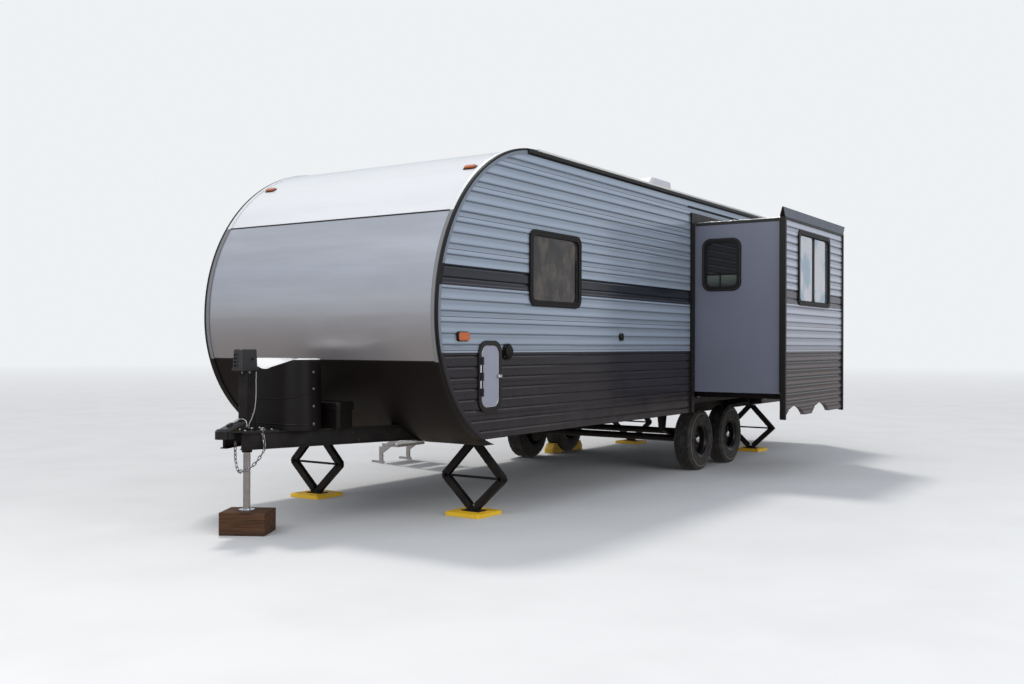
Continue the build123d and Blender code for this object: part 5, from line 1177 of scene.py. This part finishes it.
def build_stand_bolts():
    bolts = []
    for x, side in STANDS:
        y = side * STAND_Y
        spots = [(y + s * ELBOW_Y, ELBOW_Z) for s in SIDES]
        spots += [(y + s * PIVOT_Y, z) for s in SIDES for z in (APEX_Z, FOOT_Z)]
        bolts += [(hex_bolt, (x + face * (ARM_FACE + 0.0015), *spot), (face, 0, 0), 0.010, 0.007)
                  for spot in spots for face in SIDES]
        for s, height in ((side, 0.018), (-side, 0.010)):
            bolts.append((hex_bolt, (x, y + s * (ELBOW_Y + 0.020), ELBOW_Z), (0, s, 0), 0.012, height))
    piece_from("stand_bolts", bolts, "chassis_black")


# Pads and chocks: raised rims and ribs, left clear below each stand's foot
PAD_TOP, PAD_SIZE, RIB_W, RIB_H, RIB_LENGTH = 0.030, 0.340, 0.008, 0.0025, 0.29
RIB_OUTER, RIB_INNER, RIM_INSETS = 0.125, 0.075, (0.014, 0.060)
CHOCK_RIB, CHOCK_RIB_FROM, CHOCK_RIB_PITCH, CHOCK_RIBS = (0.008, 0.003, 0.060), 0.250, 0.022, 5


def build_pad_ribs():
    loops, ribs = [], []
    for x, side in STANDS:
        y = side * STAND_Y
        loops += [flat_loop(x, y, PAD_SIZE - 2 * inset, 0.014, PAD_TOP - 0.0005) for inset in RIM_INSETS]
        ribs += [(block, (x + offset, y, PAD_TOP + RIB_H / 2), (RIB_W, RIB_LENGTH, RIB_H), 0.0006)
                 for offset in (-RIB_OUTER, -RIB_INNER, RIB_INNER, RIB_OUTER)]
        ribs += [(block, (x, y + offset, PAD_TOP + RIB_H / 2), (RIB_LENGTH, RIB_W, RIB_H), 0.0006)
                 for offset in (-RIB_OUTER, RIB_OUTER)]
    bead_loops("pad_rims", loops, 0.010, 0.003, "pad_yellow")
    piece_from("pad_ribs", ribs, "pad_yellow")


def build_chock_ribs():
    low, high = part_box("chocks")
    middle = (low.x + high.x) / 2
    piece_from("chock_ribs", [
        (block, (middle + s * (CHOCK_RIB_FROM + CHOCK_RIB_PITCH * i), y, 0.040), CHOCK_RIB)
        for s in SIDES for i in range(CHOCK_RIBS) for y in (low.y - 0.001, high.y + 0.001)
    ], "pad_yellow")


# Entry steps: grit strips along each tread and pivot bolts on the stringers
STEP_ROWS, STEP_END = ((0.670, 0.607), (0.395, 0.417), (0.120, 0.227)), 0.131
GRIT_SIZE, GRIT_OFFSETS = (0.40, 0.032, 0.0024), (-0.078, 0.0, 0.078)


def build_step_strips():
    low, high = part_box("entry_steps")
    x, end_y = (low.x + high.x) / 2, STEP_END - slide_face_y
    strips, bolts = [], []
    for reach, top in STEP_ROWS:
        strips += [(block, (x, end_y + reach + offset, top + 0.0008), GRIT_SIZE, 0.0008)
                   for offset in GRIT_OFFSETS]
        bolts += [(hex_bolt, (edge, end_y + reach, top - 0.017), (s, 0, 0), 0.009, 0.006)
                  for s, edge in ((1, high.x), (-1, low.x))]
    piece_from("step_grit_strips", strips, "grit")
    piece_from("step_bolts", bolts, "screw_steel")


# Rear: tail lamp bezels and bands, bumper caps and corner trims
TAIL_LAMP_IN, REVERSE_IN, BUMPER_AT = 0.220, 0.060, (rear_x - 0.060, half_width - 0.070, 0.650)
TAIL_BEZEL, REVERSE_LENS, BUMPER_CAP = (0.222, 0.087, 0.021), (0.003, 0.045, 0.055), (0.098, 0.010, 0.098)


def build_rear_details():
    low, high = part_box("tail_lamps")
    z = (low.z + high.z) / 2
    loops, bands, caps, corners = [], [], [], []
    for side in SIDES:
        y = side * (half_width - TAIL_LAMP_IN)
        loops.append((end_loop(y, z, rear_x + 0.001, *TAIL_BEZEL), (-1, 0, 0)))
        bands.append((block, (low.x - 0.0015, y - side * REVERSE_IN, z), REVERSE_LENS))
        caps.append((block, (BUMPER_AT[0], side * BUMPER_AT[1], BUMPER_AT[2]), BUMPER_CAP, 0.004))
        corner = [(rear_x, side * (half_width - 0.002), end) for end in (skirt_z + 0.002, roof_z - 0.055)]
        legs = (-0.004, 0.030) if side < 0 else (-0.030, 0.004)
        corners.append((sweep, corner, box_section(*legs, -0.006, 0.004), (-1, 0, 0)))
    bead_loops("tail_lamp_bezels", loops, 0.014, 0.010, "black_plastic")
    piece_from("tail_lamp_reverse_lenses", bands, "shroud_white")
    piece_from("bumper_caps", caps, "black_plastic")
    piece_from("rear_corner_trims", corners, "dark_trim")


# Roof: sealant beads round each fitting, vent lid ribs and shroud screws
DECK_Z, LID_Z, LID_PITCH, LID_RIB = roof_z + 0.018 + 0.075, 0.055, 0.07, (0.33, 0.012, 0.006)
LID_HINGE, SHROUD_HALF = (0.030, 0.26, 0.024), 0.345


def build_roof_details():
    low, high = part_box("air_conditioner")
    x = (low.x + high.x) / 2
    loops, lids = [flat_loop(x, 0, 0.52, 0.03, DECK_Z - 0.004)], []
    for vent_x in (nose_x - 2.600, rear_x + 0.910):
        loops.append(flat_loop(vent_x, 0, 0.430, 0.045, DECK_Z - 0.003))
        lids += [(block, (vent_x, LID_PITCH * i, DECK_Z + LID_Z), LID_RIB) for i in range(-2, 3)]
        lids.append((block, (vent_x - 0.215, 0, DECK_Z + 0.030), LID_HINGE))
    bead_loops("roof_sealant", loops, 0.036, 0.008, "sealant")
    piece_from("vent_lid_ribs", lids, "shroud_white")
    heads = [(screw, (x + dx, s * (SHROUD_HALF - 0.012), DECK_Z + LID_Z), (0, s, 0.1), 0.006)
             for s in SIDES for dx in (-0.30, 0.12)]
    piece_from("shroud_screws", heads, "screw_steel")


# Awning: roll end caps, arm channels and the cloth's hem bar
ROLL_IN, ROLL_DROP, ARM_IN, ARM_MIDDLE, ARM_SIZE = 0.048, 0.145, 0.020, 2.12, (0.006, 0.004, 1.08)
ROLL_CAP = ((0.047, 0), (0.047, 0.034), (0.030, 0.042), (0.008, 0.044))


def build_awning_details():
    low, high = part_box("awning")
    roll_y, roll_z = low.y + ROLL_IN, roof_z - ROLL_DROP
    caps = [(lathe, (x - out * 0.030, roll_y, roll_z), (out, 0, 0), ROLL_CAP, 28)
            for x, out in ((high.x, 1), (low.x, -1))]
    arms = []
    for x in (high.x - ARM_IN, low.x + ARM_IN):
        arms += [(block, (x + s * 0.012, low.y + 0.066, ARM_MIDDLE), ARM_SIZE) for s in SIDES]
        arms += [(hex_bolt, (x, -half_width - 0.055, z), RIGHT, 0.008, 0.006) for z in (1.60, 2.70)]
    hem_at = ((low.x + high.x) / 2, roll_y + 0.034, roll_z - 0.040)
    piece_from("awning_caps", caps, "black_plastic")
    piece_from("awning_arm_channels", arms, "step_alloy")
    piece_from("awning_hem_bar", [(block, hem_at, (high.x - low.x - 0.12, 0.012, 0.016))], "step_alloy")


add_camera()
for place in ("front_left", "front_right", "rear_left", "rear_right"):
    build_tyre(f"tyre_{place}")
    build_wheel_fittings(f"rim_{place}")
for build in (
    build_nose_seams, build_nose_edges, build_body_windows, build_slide_windows, build_slide_trim,
    build_drip_rail, build_opening_screws, build_gutter_ends, build_lamp_bezels, build_side_fittings,
    build_hatch_details, build_door_details, build_cover_details, build_jack_details, build_chains,
    build_coupler_details, build_stand_arms, build_stand_bolts, build_pad_ribs, build_chock_ribs,
    build_step_strips, build_rear_details, build_roof_details, build_awning_details,
):
    build()


# Stage and lights
WALL_COLOR, FADE_FROM, FADE_TO = (0.86, 0.88, 0.90), 16.0, 60.0
GROUND_COLOR = (0.28, 0.25, 0.23)
SKY = ((0.0, (0.30, 0.29, 0.28)), (0.49, (0.45, 0.44, 0.43)), (0.515, (0.95, 0.96, 1.0)),
       (0.62, (0.74, 0.80, 0.90)), (0.80, (1.0, 1.02, 1.06)), (1.0, (0.85, 0.92, 1.05)))
SKY_STRENGTH, FLOOR_SIZE = 0.75, 240


def add_stage():
    """Pale floor: to the camera alone it fades into the backdrop, and in gloss it shows plain ground."""
    paint = Finish("studio_floor", (0.60, 0.60, 0.595), 0.9)
    paint.tint(paint.patches(1.2, 5, 0.4, 0.7), (0.57, 0.57, 0.565))
    away = paint.node("ShaderNodeVectorMath", {0: paint.coords()}, "Value", operation="LENGTH")
    faded = paint.times(paint.fit(away, FADE_FROM, FADE_TO), paint.ray("Is Camera Ray"))
    shown = paint.mix(faded, paint.shader.outputs["BSDF"], paint.glow(WALL_COLOR))
    shown = paint.mix(paint.ray("Is Glossy Ray"), shown, paint.glow(GROUND_COLOR))
    paint.feed(paint.tree.nodes["Material Output"], {"Surface": shown})
    bpy.ops.mesh.primitive_plane_add(size=FLOOR_SIZE, location=(0, 0, -0.001))
    floor = bpy.context.object
    floor.name = "studio_floor"
    floor.data.materials.append(paint.material)


def add_light(name, kind, at, target, energy, color, **settings):
    data = bpy.data.lights.new(name, kind)
    data.energy, data.color = energy, color
    for key, value in settings.items():
        setattr(data, key, value)
    lamp = bpy.data.objects.new(name, data)
    bpy.context.scene.collection.objects.link(lamp)
    lamp.location = at
    lamp.rotation_mode = "QUATERNION"
    lamp.rotation_quaternion = (Vector(target) - Vector(at)).to_track_quat("-Z", "Y")


def add_world():
    """Soft sky: bright overhead, pale at the horizon, darker ground; the camera sees a plain pale wall."""
    world = bpy.data.worlds.new("studio")
    bpy.context.scene.world = world
    world.use_nodes = True
    sky = Nodes(world.node_tree)
    background = sky.tree.nodes["Background"]
    ramp = sky.tree.nodes.new("ShaderNodeValToRGB")
    sky.feed(ramp, {"Fac": sky.fit(sky.axis("Z", "Generated"), -1, 1)})
    while len(ramp.color_ramp.elements) < len(SKY):
        ramp.color_ramp.elements.new(0.5)
    for element, (place, color) in zip(ramp.color_ramp.elements, SKY):
        element.position = place
        element.color = (*color, 1)
    sky.feed(background, {"Color": ramp.outputs["Color"], "Strength": SKY_STRENGTH})
    wall = sky.node("ShaderNodeBackground", {"Color": (*WALL_COLOR, 1)})
    shown = sky.mix(sky.ray("Is Camera Ray"), background.outputs["Background"], wall)
    sky.feed(sky.tree.nodes["World Output"], {"Surface": shown})


add_stage()
add_world()
add_light("key", "SUN", (0, 0, 0), (0.36, 0.42, -1.0), 1.6, (1.0, 0.97, 0.93), angle=math.radians(8))
add_light("front", "AREA", (11.0, 1.0, 5.5), (2.5, 0, 1.4), 260, (1, 1, 1),
          shape="RECTANGLE", size=6, size_y=4)
add_light("side", "AREA", (2.0, 12.0, 5.0), (0.0, 1.2, 1.4), 420, (0.93, 0.96, 1.0),
          shape="RECTANGLE", size=10, size_y=4)

bpy.context.scene.view_settings.view_transform = "Standard"
